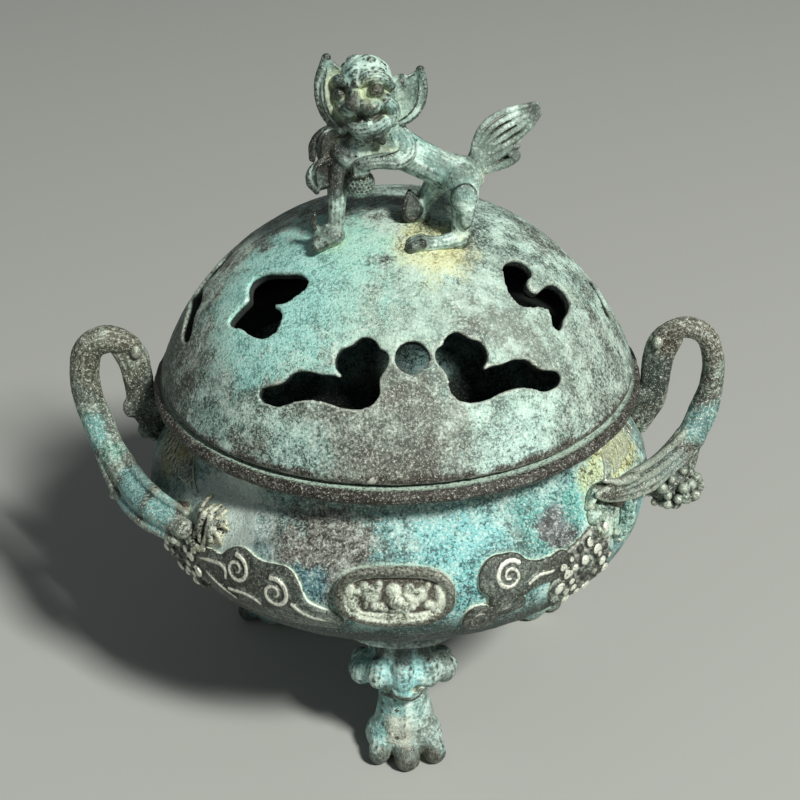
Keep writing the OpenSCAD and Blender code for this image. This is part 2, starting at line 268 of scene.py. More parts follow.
def arc(centre, radius, start, stop, steps):
    """Points of r and z round a centre, angles in degrees above the horizontal."""
    points = []
    for k in range(steps + 1):
        angle = math.radians(start + (stop - start) * k / steps)
        points.append((centre[0] + radius * math.cos(angle), centre[1] + radius * math.sin(angle)))
    return points


def evened(outline, step):
    """The same outline with points no further apart than step."""
    points = [outline[0]]
    for a, b in zip(outline, outline[1:]):
        count = max(1, math.ceil(math.dist(a, b) / step))
        for k in range(1, count + 1):
            points.append((a[0] + (b[0] - a[0]) * k / count, a[1] + (b[1] - a[1]) * k / count))
    return points


def turned(name, outline, steps):
    """Spins an outline of r and z about the burner's axis."""
    line = bpy.data.curves.new(name, "CURVE")
    line.dimensions = "3D"
    edge = line.splines.new("POLY")
    edge.points.add(len(outline) - 1)
    for knot, (radius, height) in zip(edge.points, outline):
        knot.co = (radius * MM, 0, height * MM, 1)
    piece = drawn(line)
    bpy.ops.object.mode_set(mode="EDIT")
    bpy.ops.mesh.select_all(action="SELECT")
    bpy.ops.mesh.spin(steps=steps, angle=math.tau, center=(0, 0, 0), axis=(0, 0, 1))
    bpy.ops.object.mode_set(mode="OBJECT")
    weld(piece)
    return piece


# Relief that is made flat and then laid on the belly

RIDGE_HEIGHT = 1.15


def on_belly(turn, lift, out):
    """A point on the belly, by turn and lift in radians."""
    reach = BELLY_CORE + (BELLY_ROUND + out) * math.cos(lift)
    return Vector((reach * math.sin(turn), -reach * math.cos(turn),
                   BELLY_HEIGHT + (BELLY_ROUND + out) * math.sin(lift)))


def lay_on_belly(piece, turn, lift):
    """Bends a flat relief on to the belly and keeps each point's height in an attribute."""
    heights = piece.data.attributes.new("relief", "FLOAT", "POINT")
    for k, point in enumerate(piece.data.vertices):
        u, v, out = point.co / MM
        heights.data[k].value = out
        up = math.radians(lift) + v / BELLY_ROUND
        around = math.radians(turn) + u / (BELLY_CORE + BELLY_ROUND * math.cos(up))
        point.co = mm(on_belly(around, up, out))


def plate(outline, thick, edge):
    """A flat plate with rounded edges from a smooth closed outline."""
    line = bpy.data.curves.new("plate", "CURVE")
    line.dimensions = "2D"
    line.fill_mode = "BOTH"
    line.extrude = max(thick - edge, 0.05) * MM
    line.bevel_depth = edge * MM
    line.bevel_resolution = 3
    line.resolution_u = 8
    stroke(line, [(x, y, 0, 1) for x, y in outline], closed=True)
    piece = drawn(line)
    weld(piece)
    return piece


def spiral(at, radius, turns, start, hand, line, height=RIDGE_HEIGHT):
    """Points of a flat spiral ridge of that line's thickness, from its outer end to its eye."""
    points = []
    count = int(turns * 12)
    for k in range(count + 1):
        share = k / count
        angle = math.radians(start) + hand * share * turns * math.tau
        reach = radius * (1 - 0.86 * share)
        points.append((at[0] + reach * math.cos(angle), at[1] + reach * math.sin(angle), height,
                       line * (1 - 0.35 * share)))
    return points


# Finishes

def add(nodes, kind, **values):
    """A new shader node with its settings."""
    node = nodes.new(kind)
    for key, value in values.items():
        setattr(node, key, value)
    return node


class Patina:
    """Builds one layered bronze finish from noise, hollows, ridges and places on the burner."""

    def __init__(self, name):
        self.material = bpy.data.materials.new(name)
        self.material.use_nodes = True
        self.nodes = self.material.node_tree.nodes
        self.links = self.material.node_tree.links
        self.shader = self.nodes["Principled BSDF"]
        self.place = add(self.nodes, "ShaderNodeTexCoord").outputs["Object"]
        self.point = add(self.nodes, "ShaderNodeNewGeometry").outputs["Pointiness"]

    def noise(self, size, detail, rough):
        """Noise with features of about that size in millimetres."""
        node = add(self.nodes, "ShaderNodeTexNoise")
        node.inputs["Scale"].default_value = 1000.0 / size
        node.inputs["Detail"].default_value = detail
        node.inputs["Roughness"].default_value = rough
        self.links.new(self.place, node.inputs["Vector"])
        return node.outputs["Fac"]

    def crackle(self, size):
        """Distance to the nearest of many fine wandering cracks."""
        wander = add(self.nodes, "ShaderNodeTexNoise")
        wander.inputs["Scale"].default_value = 1500.0 / size
        shift = add(self.nodes, "ShaderNodeVectorMath", operation="SCALE")
        shift.inputs["Scale"].default_value = 1.3 * size * MM
        self.links.new(wander.outputs["Color"], shift.inputs[0])
        moved = add(self.nodes, "ShaderNodeVectorMath", operation="ADD")
        self.links.new(self.place, wander.inputs["Vector"])
        self.links.new(self.place, moved.inputs[0])
        self.links.new(shift.outputs["Vector"], moved.inputs[1])
        node = add(self.nodes, "ShaderNodeTexVoronoi", feature="DISTANCE_TO_EDGE")
        node.inputs["Scale"].default_value = 1000.0 / size
        self.links.new(moved.outputs["Vector"], node.inputs["Vector"])
        return node.outputs["Distance"]

    def span(self, value, low, high, out_low=0.0, out_high=1.0):
        """A smooth step of the value between low and high."""
        node = add(self.nodes, "ShaderNodeMapRange", interpolation_type="SMOOTHSTEP")
        node.inputs["From Min"].default_value = low
        node.inputs["From Max"].default_value = high
        node.inputs["To Min"].default_value = out_low
        node.inputs["To Max"].default_value = out_high
        self.links.new(value, node.inputs["Value"])
        return node.outputs["Result"]

    def maths(self, how, a, b):
        """Two values, sockets or numbers, worked together."""
        node = add(self.nodes, "ShaderNodeMath", operation=how)
        for socket, value in zip(node.inputs, (a, b)):
            if isinstance(value, (int, float)):
                socket.default_value = value
            else:
                self.links.new(value, socket)
        return node.outputs["Value"]

    def times(self, a, b):
        return self.maths("MULTIPLY", a, b)

    def plus(self, a, b):
        return self.maths("ADD", a, b)

    def most(self, a, b):
        return self.maths("MAXIMUM", a, b)

    def swing(self, value, reach):
        """Noise centred on zero, as wide as reach."""
        return self.times(self.maths("SUBTRACT", value, 0.5), reach)

    def lay(self, under, over, mask, share):
        """One colour laid over another where the mask is."""
        return self.mix(self.times(mask, share), under, over)

    def mix(self, share, a, b):
        """Colour a where share is 0 and b where it is 1."""
        node = add(self.nodes, "ShaderNodeMix", data_type="RGBA")
        self.links.new(share, node.inputs[0])
        for socket, value in ((node.inputs[6], a), (node.inputs[7], b)):
            if isinstance(value, tuple):
                socket.default_value = (*value, 1.0)
            else:
                self.links.new(value, socket)
        return node.outputs[2]

    def level(self, ragged, low, high):
        """A ragged step between two heights in millimetres."""
        node = add(self.nodes, "ShaderNodeSeparateXYZ")
        self.links.new(self.place, node.inputs["Vector"])
        height = self.plus(node.outputs["Z"], self.swing(ragged, 6 * MM))
        return self.span(height, low * MM, high * MM)

    def away(self, centre):
        """The distance from a point on the burner."""
        node = add(self.nodes, "ShaderNodeVectorMath", operation="DISTANCE")
        self.links.new(self.place, node.inputs[0])
        node.inputs[1].default_value = mm(centre)
        return node.outputs["Value"]

    def near(self, centre, radius):
        """A ragged spot on the burner."""
        edge = self.plus(self.away(centre), self.swing(self.noise(5, 5, 0.65), 2 * radius * MM))
        return self.span(edge, radius * 1.15 * MM, radius * 0.6 * MM)

    def shelter(self, reach):
        """How open the surface is to the air within reach, 1 in the open."""
        node = add(self.nodes, "ShaderNodeAmbientOcclusion", samples=8)
        node.inputs["Distance"].default_value = reach * MM
        return node.outputs["AO"]

    def relief(self):
        """How far a relief's surface stands from the belly, in millimetres."""
        return add(self.nodes, "ShaderNodeAttribute", attribute_name="relief").outputs["Fac"]

    def done(self, colour, rough, metal, bump):
        """Joins the layers to the shader."""
        self.links.new(colour, self.shader.inputs["Base Color"])
        self.links.new(rough, self.shader.inputs["Roughness"])
        self.links.new(metal, self.shader.inputs["Metallic"])
        self.shader.inputs["IOR"].default_value = 1.5
        node = add(self.nodes, "ShaderNodeBump")
        node.inputs["Strength"].default_value = 0.75
        node.inputs["Distance"].default_value = 0.3 * MM
        self.links.new(bump, node.inputs["Height"])
        self.links.new(node.outputs["Normal"], self.shader.inputs["Normal"])
        return self.material


def shade(red, green, blue):
    """A colour by its everyday 0 to 255 numbers."""
    def straight(value):
        value /= 255.0
        return value / 12.92 if value <= 0.04045 else ((value + 0.055) / 1.055) ** 2.4
    return (straight(red), straight(green), straight(blue))


BRONZE = shade(62, 56, 48)
BLACK_BRONZE = shade(32, 30, 28)
BROWN_GREY = shade(112, 104, 96)
PURPLE_BROWN = shade(104, 92, 100)
CREAM = shade(206, 204, 158)
YELLOW_CRUST = shade(200, 200, 134)
MINT = shade(190, 220, 202)
# Pale specks that stand in for glints of light: painted highlights.
PAINTED_GLINT = shade(222, 226, 212)
PALE_BLOOM = shade(216, 232, 222)
# Colour for the inside of the lid's dome: painted shade.
INSIDE_SHADE = shade(44, 52, 48)
# Dark soil in the grain, also used for spots of painted shade.
SOIL_AND_SHADE = shade(40, 42, 37)


def patina(name, skin, ridge=BRONZE, hollow=CREAM, ridge_at=(0.506, 0.53), ridge_share=0.9,
           hollow_at=(0.72, 0.42), hollow_share=0.9, reach=2.2, worn=0.4, bloom=0.6, soil=0.7, glints=0.35,
           pitted=0.85, gloss=0.36, mottled=0.35, patched=0.5, spots=(), late=(), bands=(), stains_and_shade=(),
           floor_at=None, top_at=None, lines_at=None, inside=None):
    """Verdigris over bronze, laid on in the order in which it grew; some finishes add painted shade and
    painted highlights.

    Spots and late spots: centre, radius, tint and share. Bands and stains_and_shade: two heights, tint and
    share.
    floor_at, top_at and lines_at: heights on a relief where its ground, its top and its lines show.
    """
    p = Patina(name)
    broad = p.noise(24, 4, 0.6)
    mottle = p.noise(6.5, 6, 0.7)
    patch = p.noise(2.2, 5, 0.65)
    grit = p.noise(0.56, 3, 0.65)
    fine = p.noise(0.22, 2, 0.6)

    # Mottled skin with its spots and bands
    colour = p.mix(p.span(broad, 0.42, 0.58), skin[0], skin[2])
    colour = p.mix(p.span(mottle, 0.45, 0.62), colour, skin[1])
    for centre, radius, tint, share in spots:
        colour = p.lay(colour, tint, p.near(centre, radius), share)
    for low, high, tint, share in bands:
        colour = p.lay(colour, tint, p.level(mottle, low, high), share)

    # Pale bloom, dark soil and cracks in the grain
    worked = p.plus(p.plus(grit, p.swing(mottle, mottled)), p.swing(patch, patched))
    colour = p.lay(colour, PALE_BLOOM, p.span(worked, 0.5, 0.7), bloom)
    cracks = p.times(p.span(p.crackle(1.2), 0.1, 0.02), p.span(mottle, 0.4, 0.6, 0.9, 0.3))
    dark = p.times(p.most(p.span(worked, 0.46, 0.38), cracks), soil)
    colour = p.mix(dark, colour, SOIL_AND_SHADE)
    # Late bands: stains, and painted shade such as the darkened underside of the belly.
    for low, high, tint, share in stains_and_shade:
        colour = p.lay(colour, tint, p.level(mottle, low, high), share)

    # Bare metal, the hollow colour in the hollows and the ridge colour on edges and relief tops: mostly
    # crust and wear, with painted shade in the handles' grooves and painted highlights on the handles' and
    # lid's edges and on the scroll lines
    bare = p.times(p.span(p.plus(broad, p.times(mottle, 0.6)), 0.86, 0.98), worn)
    colour = p.mix(bare, colour, ridge)
    crust_and_shade = p.times(p.span(p.shelter(reach), *hollow_at), hollow_share)
    crust_and_shade = p.times(crust_and_shade, p.span(grit, 0.34, 0.5, 0.35, 1.0))
    if floor_at:
        ground = p.span(p.relief(), floor_at[1], floor_at[0])
        crust_and_shade = p.most(crust_and_shade, p.times(ground, p.span(grit, 0.34, 0.5, 0.4, 1.0)))
    colour = p.mix(crust_and_shade, colour, hollow)
    edge = p.times(p.span(p.point, *ridge_at), p.span(grit, 0.3, 0.5, 0.45, ridge_share))
    if top_at:
        edge = p.most(edge, p.times(p.span(p.relief(), *top_at), p.span(grit, 0.3, 0.55, 0.95, 0.7)))
    colour = p.mix(edge, colour, ridge)
    if lines_at:
        lines = p.times(p.span(p.relief(), *lines_at), p.span(grit, 0.35, 0.5, 0.5, 1.0))
        colour = p.mix(lines, colour, hollow)

    # Late spots, painted glints, pits, and painted shade inside the lid
    for centre, radius, tint, share in late:
        colour = p.lay(colour, tint, p.near(centre, radius), share)
    # Painted glints: pale specks where light would sparkle on the metal.
    colour = p.lay(colour, PAINTED_GLINT, p.span(p.plus(fine, p.times(grit, 0.6)), 0.9, 1.0), glints)
    colour = p.lay(colour, BLACK_BRONZE, p.span(p.noise(0.6, 4, 0.75), 0.43, 0.34), pitted)
    # Painted shade: the inside of the dome is darkened.
    if inside:
        centre, skin_radius, shade_radius = inside
        colour = p.mix(p.span(p.away(centre), skin_radius * MM, shade_radius * MM), colour, INSIDE_SHADE)

    metal = p.times(p.most(edge, p.most(bare, dark)), 0.6)
    rough = p.span(p.plus(metal, p.times(fine, 0.35)), 0.12, 0.7, 0.78, gloss)
    bump = p.plus(p.times(grit, 1.1), p.times(fine, 0.5))
    bump = p.plus(bump, p.times(mottle, 0.5))
    return p.done(colour, rough, metal, bump)


def thrice(*places):
    """The same places on each of the three legs."""
    return [tuple(Matrix.Rotation(math.radians(turn), 3, "Z") @ Vector(at))
            for at in places for turn in (0, 120, 240)]


PATINA_BOWL = patina(
    "patina_bowl", skin=(shade(112, 170, 168), shade(156, 200, 196), shade(104, 142, 138)), hollow=MINT,
    ridge_at=(0.53, 0.6), hollow_at=(0.8, 0.5), hollow_share=0.8, reach=2.0,
    soil=0.8, worn=0.55, bloom=0.45, glints=0.6, mottled=0.45, patched=0.7, pitted=0.5,
    spots=(((-15, -51, 63), 13, BROWN_GREY, 0.85), ((-19, -51, 56), 5.5, shade(70, 140, 152), 0.75),
           ((-34, -38, 63), 8, shade(172, 194, 190), 0.75), ((-28, -43, 60), 5, shade(120, 160, 172), 0.6),
           ((30, -43, 63), 10, shade(88, 166, 160), 0.75), ((31, -40, 61), 6, PURPLE_BROWN, 0.8),
           ((12, -53, 60), 13, shade(112, 190, 192), 0.7), ((37, -36, 64), 5, shade(64, 160, 150), 0.7),
           ((-40, 38, 60), 14, BROWN_GREY, 0.7), ((36, 42, 62), 12, PURPLE_BROWN, 0.7),
           ((-47, -12, 68), 9, YELLOW_CRUST, 0.75), ((46, -18, 67), 11, YELLOW_CRUST, 0.85),
           ((41, -28, 66), 6, shade(190, 204, 150), 0.8), ((47, 12, 68), 8, YELLOW_CRUST, 0.6),
           ((-47, 12, 68), 8, YELLOW_CRUST, 0.6)),
    # Bands: a darker neck under the lip, partly grime and partly painted shade of the lip; the lip's own
    # dark brown.
    bands=((67, 72.5, shade(84, 98, 90), 0.75), (73.6, 74.4, shade(58, 54, 46), 0.95)),
    # Stains: painted shade darkening the lower belly and underside; the lip's own darker brown.
    stains_and_shade=((51, 44, shade(28, 38, 34), 0.92), (73.6, 74.4, shade(34, 30, 25), 0.7)),
    late=(((-36, -37, 62), 13, shade(206, 224, 216), 0.62),))

PATINA_LEG = patina(
    "patina_leg", skin=(shade(142, 198, 193), shade(192, 226, 217), shade(122, 142, 133)),
    hollow=shade(206, 216, 188), ridge=shade(58, 52, 42), ridge_at=(0.505, 0.53),
    soil=0.45, worn=0.5, bloom=0.6, mottled=0.6, pitted=0.4, gloss=0.28,
    spots=[*((at, 6, shade(152, 216, 216), 0.75) for at in thrice((0, -39, 25))),
           *((at, 4, shade(208, 216, 198), 0.8) for at in thrice((-1, -41, 9.5)))],
    # Late: dark spots in the recess above each cuff, partly dirt and partly painted shade; the toes' own
    # dark brown ends.
    late=[*((at, 2.9, SOIL_AND_SHADE, 0.85) for at in thrice((0, -39.6, 29.2), (5.6, -37.2, 29.4),
                                                   (-5.6, -37.2, 29.4))),
          *((at, 4.2, shade(66, 64, 54), 0.75) for at in thrice((-5.2, -41, 1.8), (0.7, -44, 1.8),
                                                                (6.6, -41, 1.8)))])

DARK_HANDLE = patina(
    "dark_handle", skin=(shade(76, 88, 80), shade(116, 134, 122), shade(66, 66, 56)),
    # The dark hollow colour is painted shade in the grooves and between the beads; the pale ridge colour is
    # painted highlight on the edges and bead tops.
    hollow=shade(26, 28, 24), hollow_at=(0.86, 0.5), reach=1.8,
    ridge=shade(184, 196, 180), ridge_at=(0.506, 0.534), ridge_share=0.75,
    soil=0.5, worn=0.0, bloom=0.45, glints=0.95, gloss=0.22, pitted=0.5,
    spots=(((68, -3, 64), 6, shade(104, 160, 158), 0.7), ((-68, -3, 64), 6, shade(104, 168, 164), 0.8),
           ((60, -16, 57), 8, shade(104, 132, 128), 0.7), ((-56, -20, 59), 7, shade(128, 192, 190), 0.8),
           ((-62, -8, 61), 4, shade(120, 176, 160), 0.7), ((64, 0, 84), 10, shade(72, 62, 48), 0.8),
           ((-64, 0, 82), 11, shade(96, 94, 74), 0.6), ((-48, -14, 67), 8, shade(150, 146, 92), 0.8),
           ((-50, -30, 60), 5, shade(130, 194, 190), 0.8)),
    # Late: a pale yellow crust over the right hair; dark spots on both posts are painted shade.
    late=(((44, -17, 69), 8.5, shade(204, 212, 168), 0.42), ((56, 0, 75), 7, shade(44, 58, 54), 0.8),
          ((-55.5, 0, 70), 7, shade(44, 52, 46), 0.7)))

CREAM_MASK = patina(
    "cream_mask", skin=(shade(150, 164, 152), shade(206, 212, 190), shade(112, 116, 100)),
    hollow=BLACK_BRONZE, hollow_at=(0.62, 0.3), reach=1.6, ridge=shade(196, 196, 166),
    ridge_at=(0.512, 0.55), soil=0.95, worn=0.4, bloom=0.5)

LEAF_MASK = patina(
    "leaf_mask", skin=(shade(120, 164, 154), shade(176, 204, 188), shade(116, 128, 110)),
    hollow=shade(52, 56, 46), hollow_at=(0.6, 0.3), reach=1.6, ridge=shade(204, 214, 190),
    ridge_at=(0.515, 0.56), soil=0.8, worn=0.3, bloom=0.6,
    spots=(((38, -34, 60), 5, shade(190, 186, 126), 0.7),))

DARK_RELIEF = patina(
    "dark_relief", skin=(shade(164, 176, 158), shade(206, 214, 196), shade(130, 130, 104)),
    hollow=shade(50, 44, 33), ridge=shade(54, 54, 46), ridge_at=(0.6, 0.7), soil=0.8, worn=0.2, bloom=0.7,
    floor_at=(0.4, 0.7), top_at=(1.35, 1.75))

SCROLL_RELIEF = patina(
    "scroll_relief", skin=(shade(124, 146, 138), shade(180, 202, 192), shade(96, 104, 96)),
    # The dark plate tops are partly the plates' own dark and partly painted shade; the pale lines on the
    # spiral ridges are partly cream crust and partly painted highlight.
    hollow=shade(230, 236, 220), ridge=shade(56, 60, 53), soil=0.7, worn=0.4, bloom=0.7, glints=0.4,
    floor_at=(0.3, 0.7), top_at=(0.4, 0.85), lines_at=(1.4, 1.6))

PATINA_LID = patina(
    "patina_lid", skin=(shade(126, 154, 144), shade(172, 204, 192), shade(106, 118, 108)),
    # The pale ridge colour on the piercings' edges is partly worn metal and partly painted highlight.
    hollow=MINT, hollow_at=(0.5, 0.2), hollow_share=0.4, ridge=shade(206, 214, 200), ridge_at=(0.52, 0.57),
    soil=0.7, worn=0.2, bloom=0.42, glints=0.6, mottled=0.45, patched=0.6, pitted=0.4,
    spots=(((-3, -48, 88), 20, shade(106, 108, 98), 0.75), ((-22, -48, 83), 9, shade(150, 190, 182), 0.65),
           ((25, -47, 84), 11, shade(168, 202, 194), 0.65), ((-9, -17, 112), 9, shade(146, 204, 190), 0.65),
           # Painted light: a brighter teal on the dome's upper left, which faces away from the key lamp.
           ((-26, -22, 104), 20, shade(146, 200, 190), 0.8),
           # The spot at (-48, -14, 86) darkens the dome's left side: painted shade.
           ((0, -30, 106), 14, shade(150, 178, 164), 0.55), ((-48, -14, 86), 18, shade(86, 98, 88), 0.8),
           ((44, -24, 88), 18, shade(126, 140, 128), 0.6), ((-38, -32, 88), 9, shade(96, 140, 134), 0.6),
           ((-13, -13, 114), 4, YELLOW_CRUST, 0.8), ((7, -16, 113), 9, shade(206, 214, 160), 0.65),
           ((10, -15, 114), 3, YELLOW_CRUST, 0.7)),
    # The lid's lower edge: its own dark brown, with a darker stain that is painted shadow along the seam
    # with the lip.
    bands=((81, 79.6, BRONZE, 0.85),), stains_and_shade=((80.6, 79.2, shade(48, 44, 37), 0.75),),
    # The dome's inside gets painted shade.
    inside=((0, 0, DOME_CENTRE), 53.7, 53.3),
    # The first late spot is painted light on the dome's upper left.
    late=(((-21, -20, 107), 21, shade(152, 216, 206), 0.52), ((-8, -14, 114), 9, shade(158, 208, 190), 0.4),
          ((9, -17, 112.6), 8, shade(214, 214, 160), 0.4), ((0, -30, 107), 14, shade(164, 196, 182), 0.3),
          ((26, -24, 104), 18, shade(150, 170, 158), 0.35)))

LION_BRONZE = patina(
    "lion_bronze", skin=(shade(136, 182, 173), shade(202, 232, 220), shade(108, 132, 122)),
    hollow=shade(206, 216, 178), hollow_at=(0.75, 0.45), hollow_share=0.6, reach=2.4,
    ridge=shade(44, 42, 36), ridge_at=(0.503, 0.524),
    soil=0.28, worn=0.5, bloom=0.4, glints=0.35, pitted=0.3, mottled=0.6, gloss=0.22,
    spots=(((17, -8, 124), 3.4, YELLOW_CRUST, 0.6), ((-12, -13, 112.6), 2, YELLOW_CRUST, 0.6),
           ((13.6, -13, 114.6), 2.4, YELLOW_CRUST, 0.7), ((-4, -16, 146), 3, YELLOW_CRUST, 0.4),
           ((-3, -12, 151), 5, shade(186, 220, 206), 0.6)),
    # Late dark spots: the muzzle's and nose's own dark bronze, and painted shade in the mouth, under the
    # chin, between the legs and on the lion's left side below the head.
    late=(((3.4, -8, 119), 3.6, BLACK_BRONZE, 0.85), ((-13.4, -11.8, 132.6), 6.0, BLACK_BRONZE, 0.85),
          ((-14.0, -11.6, 126.6), 4.2, SOIL_AND_SHADE, 0.75), ((-10.8, -11.6, 128), 4.2, BLACK_BRONZE, 0.75),
          *(((x, y, LION_BASE + z), radius, tint, 0.85) for x, y, z, radius, tint in (
              (-7.5, -16.6, 26.6, 2.1, shade(46, 38, 30)), (-4.8, -16.6, 25.8, 1.9, shade(62, 68, 58)),
              (-2.9, -15.6, 29.0, 1.8, BLACK_BRONZE), (-10.2, -12.6, 27.4, 1.9, BLACK_BRONZE),
              (-6.2, -14.6, 23.5, 1.5, BLACK_BRONZE), (-3.0, -15.2, 24.2, 1.6, BLACK_BRONZE),
              (-3.2, -15.4, 19.8, 2.2, SOIL_AND_SHADE))),
          ((8, -5, 120), 3.4, BLACK_BRONZE, 0.7)))

TAIL_BRONZE = patina(
    "tail_bronze", skin=(shade(154, 196, 188), shade(204, 230, 220), shade(118, 140, 130)),
    hollow=shade(52, 54, 46), hollow_at=(0.8, 0.45), reach=1.4,
    ridge=shade(214, 226, 212), ridge_at=(0.512, 0.545), ridge_share=0.8,
    soil=0.3, worn=0.0, bloom=0.35, glints=0.4, gloss=0.24, pitted=0.3,
    late=(((29, -7.4, LION_BASE + 21.6), 3.2, BLACK_BRONZE, 0.7),
          ((24.6, -7.6, LION_BASE + 12.6), 2.4, SOIL_AND_SHADE, 0.6)))

RIVET_BRONZE = patina("rivet_bronze", skin=(BRONZE, shade(90, 96, 84), BROWN_GREY), soil=0.8)


# Bowl

def make_bowl():
    """Belly, neck and lip, turned as one hollow shell."""
    outline = [(0.0, FLOOR_UNDER), (BELLY_CORE, FLOOR_UNDER)]
    outline += arc((BELLY_CORE, BELLY_HEIGHT), BELLY_ROUND, -88, 52, 44)
    outline += [(48.0, 67.6), (47.1, 69.0), (46.7, 70.6), (47.1, 72.2), (48.2, 73.7), (50.0, 74.8)]
    outline += arc(LIP_AT, LIP_ROUND, -80, 80, 10)
    outline += [(50.2, RIM_TOP), (44.4, RIM_TOP), (MOUTH_RADIUS, RIM_TOP - 0.4),
                (MOUTH_RADIUS, NECK_INSIDE)]
    outline += arc((BELLY_CORE, BELLY_HEIGHT), BELLY_ROUND - WALL, 62, -90, 44)
    outline += [(0.0, FLOOR_INSIDE)]
    bowl = turned("bowl_body", evened(outline, step=1.1), steps=220)
    roughen(bowl, wave=0.45, pit=0.16)
    smooth(bowl)
    place(bowl, "bowl", "patina_bowl", PATINA_BOWL, "bowl_shell")


# Lid

# Outlines of the piercings, flat, about their middles
VENT_CLOUD = [(4.7, 9), (2.9, 7), (1.4, 6.1), (0.6, 4.7), (0.6, 3), (1.3, 1.7), (2.5, 0.5), (0.8, 0.6),
              (-1.7, 0.4), (-4.1, 0.7), (-6.1, 0.5), (-7.9, -0.3), (-8.7, -1.4), (-10.2, -2.6),
              (-12.4, -3.2), (-14, -3.9), (-14.3, -4.9), (-13.3, -6.2), (-11.1, -6.8), (-9.3, -6.9),
              (-7.2, -6.1), (-4.8, -5.2), (-2.1, -4.8), (1, -5), (3.1, -5.4), (6.1, -5.3), (8, -4.8),
              (9.7, -3.5), (10.4, -1.5), (10, 0.6), (10.1, 2), (10.8, 3.8), (10.8, 5.5), (10.1, 6.8),
              (8.8, 7.2), (7.5, 8.5), (6.1, 9.1)]
COMMA_LEFT = [(4.4, 8.3), (2.2, 8.6), (-2.5, 6.8), (-6.8, 4.9), (-8.4, 2.4), (-7.3, 0.3), (-5.5, -1.2),
              (-5.9, -2.9), (-6.4, -4.8), (-6.6, -7.1), (-4.3, -7.5), (-2.2, -7), (1.1, -7.2), (4, -6.8),
              (6, -5.2), (6.5, -2.7), (5.5, -0.7), (3.6, 0.2), (2.2, 0.1), (4.3, 2.1), (5.3, 4.8),
              (5.7, 6.7), (5.2, 7.9)]
COMMA_RIGHT = [(-3.4, 7.3), (-1.2, 8.2), (1.6, 7.8), (3.5, 6.5), (4.2, 4.5), (3.5, 3.3), (-0.9, 2),
               (-1.1, 0), (2.1, -0.6), (4.5, -0.6), (6.5, -1.4), (7.5, -3.3), (7, -5.6), (4.6, -7.3),
               (1.3, -7.9), (-3.3, -8.7), (-2.7, -6.4), (-1.5, -4.9), (-2.4, -3.5), (-5.3, -1.8),
               (-6.9, -0.2), (-7.2, 2), (-6, 4.3), (-4.3, 6.2)]


def piercing(outline, turn, lift):
    """A prism of that outline standing across the dome's wall."""
    prism = plate(outline, thick=9.0, edge=0.0)
    frame_at = (Matrix.Translation(mm((0, 0, DOME_CENTRE)))
                @ Matrix.Rotation(math.radians(turn + LID_TURN), 4, "Z")
                @ Matrix.Rotation(math.radians(90 - lift), 4, "X")
                @ Matrix.Translation(mm((0, 0, DOME_RADIUS - LID_WALL))))
    prism.data.transform(frame_at)
    return prism


def make_lid():
    """A pierced dome with a rolled edge, a seat and a ring that sits in the bowl's mouth."""
    outline = [(0.0, DOME_CENTRE + DOME_RADIUS)]
    outline += arc((0, DOME_CENTRE), DOME_RADIUS, 89, 21.5, 70)
    outline += [(51.0, 80.3), (51.15, 79.6), (50.9, 78.8), (50.3, 78.6), (48.8, 78.55), (48.8, LID_SEAT),
                (RING_OUTSIDE, LID_SEAT), (RING_OUTSIDE, RING_LOW), (RING_INSIDE, RING_LOW),
                (RING_INSIDE, 80.2), (47.6, 81.6)]
    outline += arc((0, DOME_CENTRE), DOME_RADIUS - LID_WALL, 23, 89, 60)
    outline += [(0.0, DOME_CENTRE + DOME_RADIUS - LID_WALL)]
    lid = turned("lid_body", evened(outline, step=1.6), steps=160)
    cuts = []
    angles = [k * math.tau / 16 for k in range(16)]
    round_vent = [(VENT_RADIUS * math.cos(angle), VENT_RADIUS * math.sin(angle)) for angle in angles]
    other_cloud = [(-x, y) for x, y in reversed(VENT_CLOUD)]
    for turn in (0, 120, 240):
        cuts.append(piercing(round_vent, turn, VENT_LIFT))
        cuts.append(piercing(VENT_CLOUD, turn - CLOUD_BESIDE, CLOUD_LIFT))
        cuts.append(piercing(other_cloud, turn + CLOUD_BESIDE, CLOUD_LIFT))
    for comma, turn in ((COMMA_LEFT, COMMA_LEFT_TURN), (COMMA_RIGHT, COMMA_RIGHT_TURN), (COMMA_LEFT, 180)):
        cuts.append(piercing(comma, turn, COMMA_LIFT))
    for cut in cuts:
        weld(cut)
    for cut in cuts:
        work(lid, "BOOLEAN", operation="DIFFERENCE", solver="EXACT", object=cut)
        bpy.data.objects.remove(cut)
    work(lid, "REMESH", mode="VOXEL", voxel_size=0.53 * MM)
    work(lid, "SMOOTH", factor=0.5, iterations=1)
    roughen(lid, wave=0.25, pit=0.14)
    smooth(lid)
    place(lid, "lid", "patina_lid", PATINA_LID, "lid_dome")


# Legs

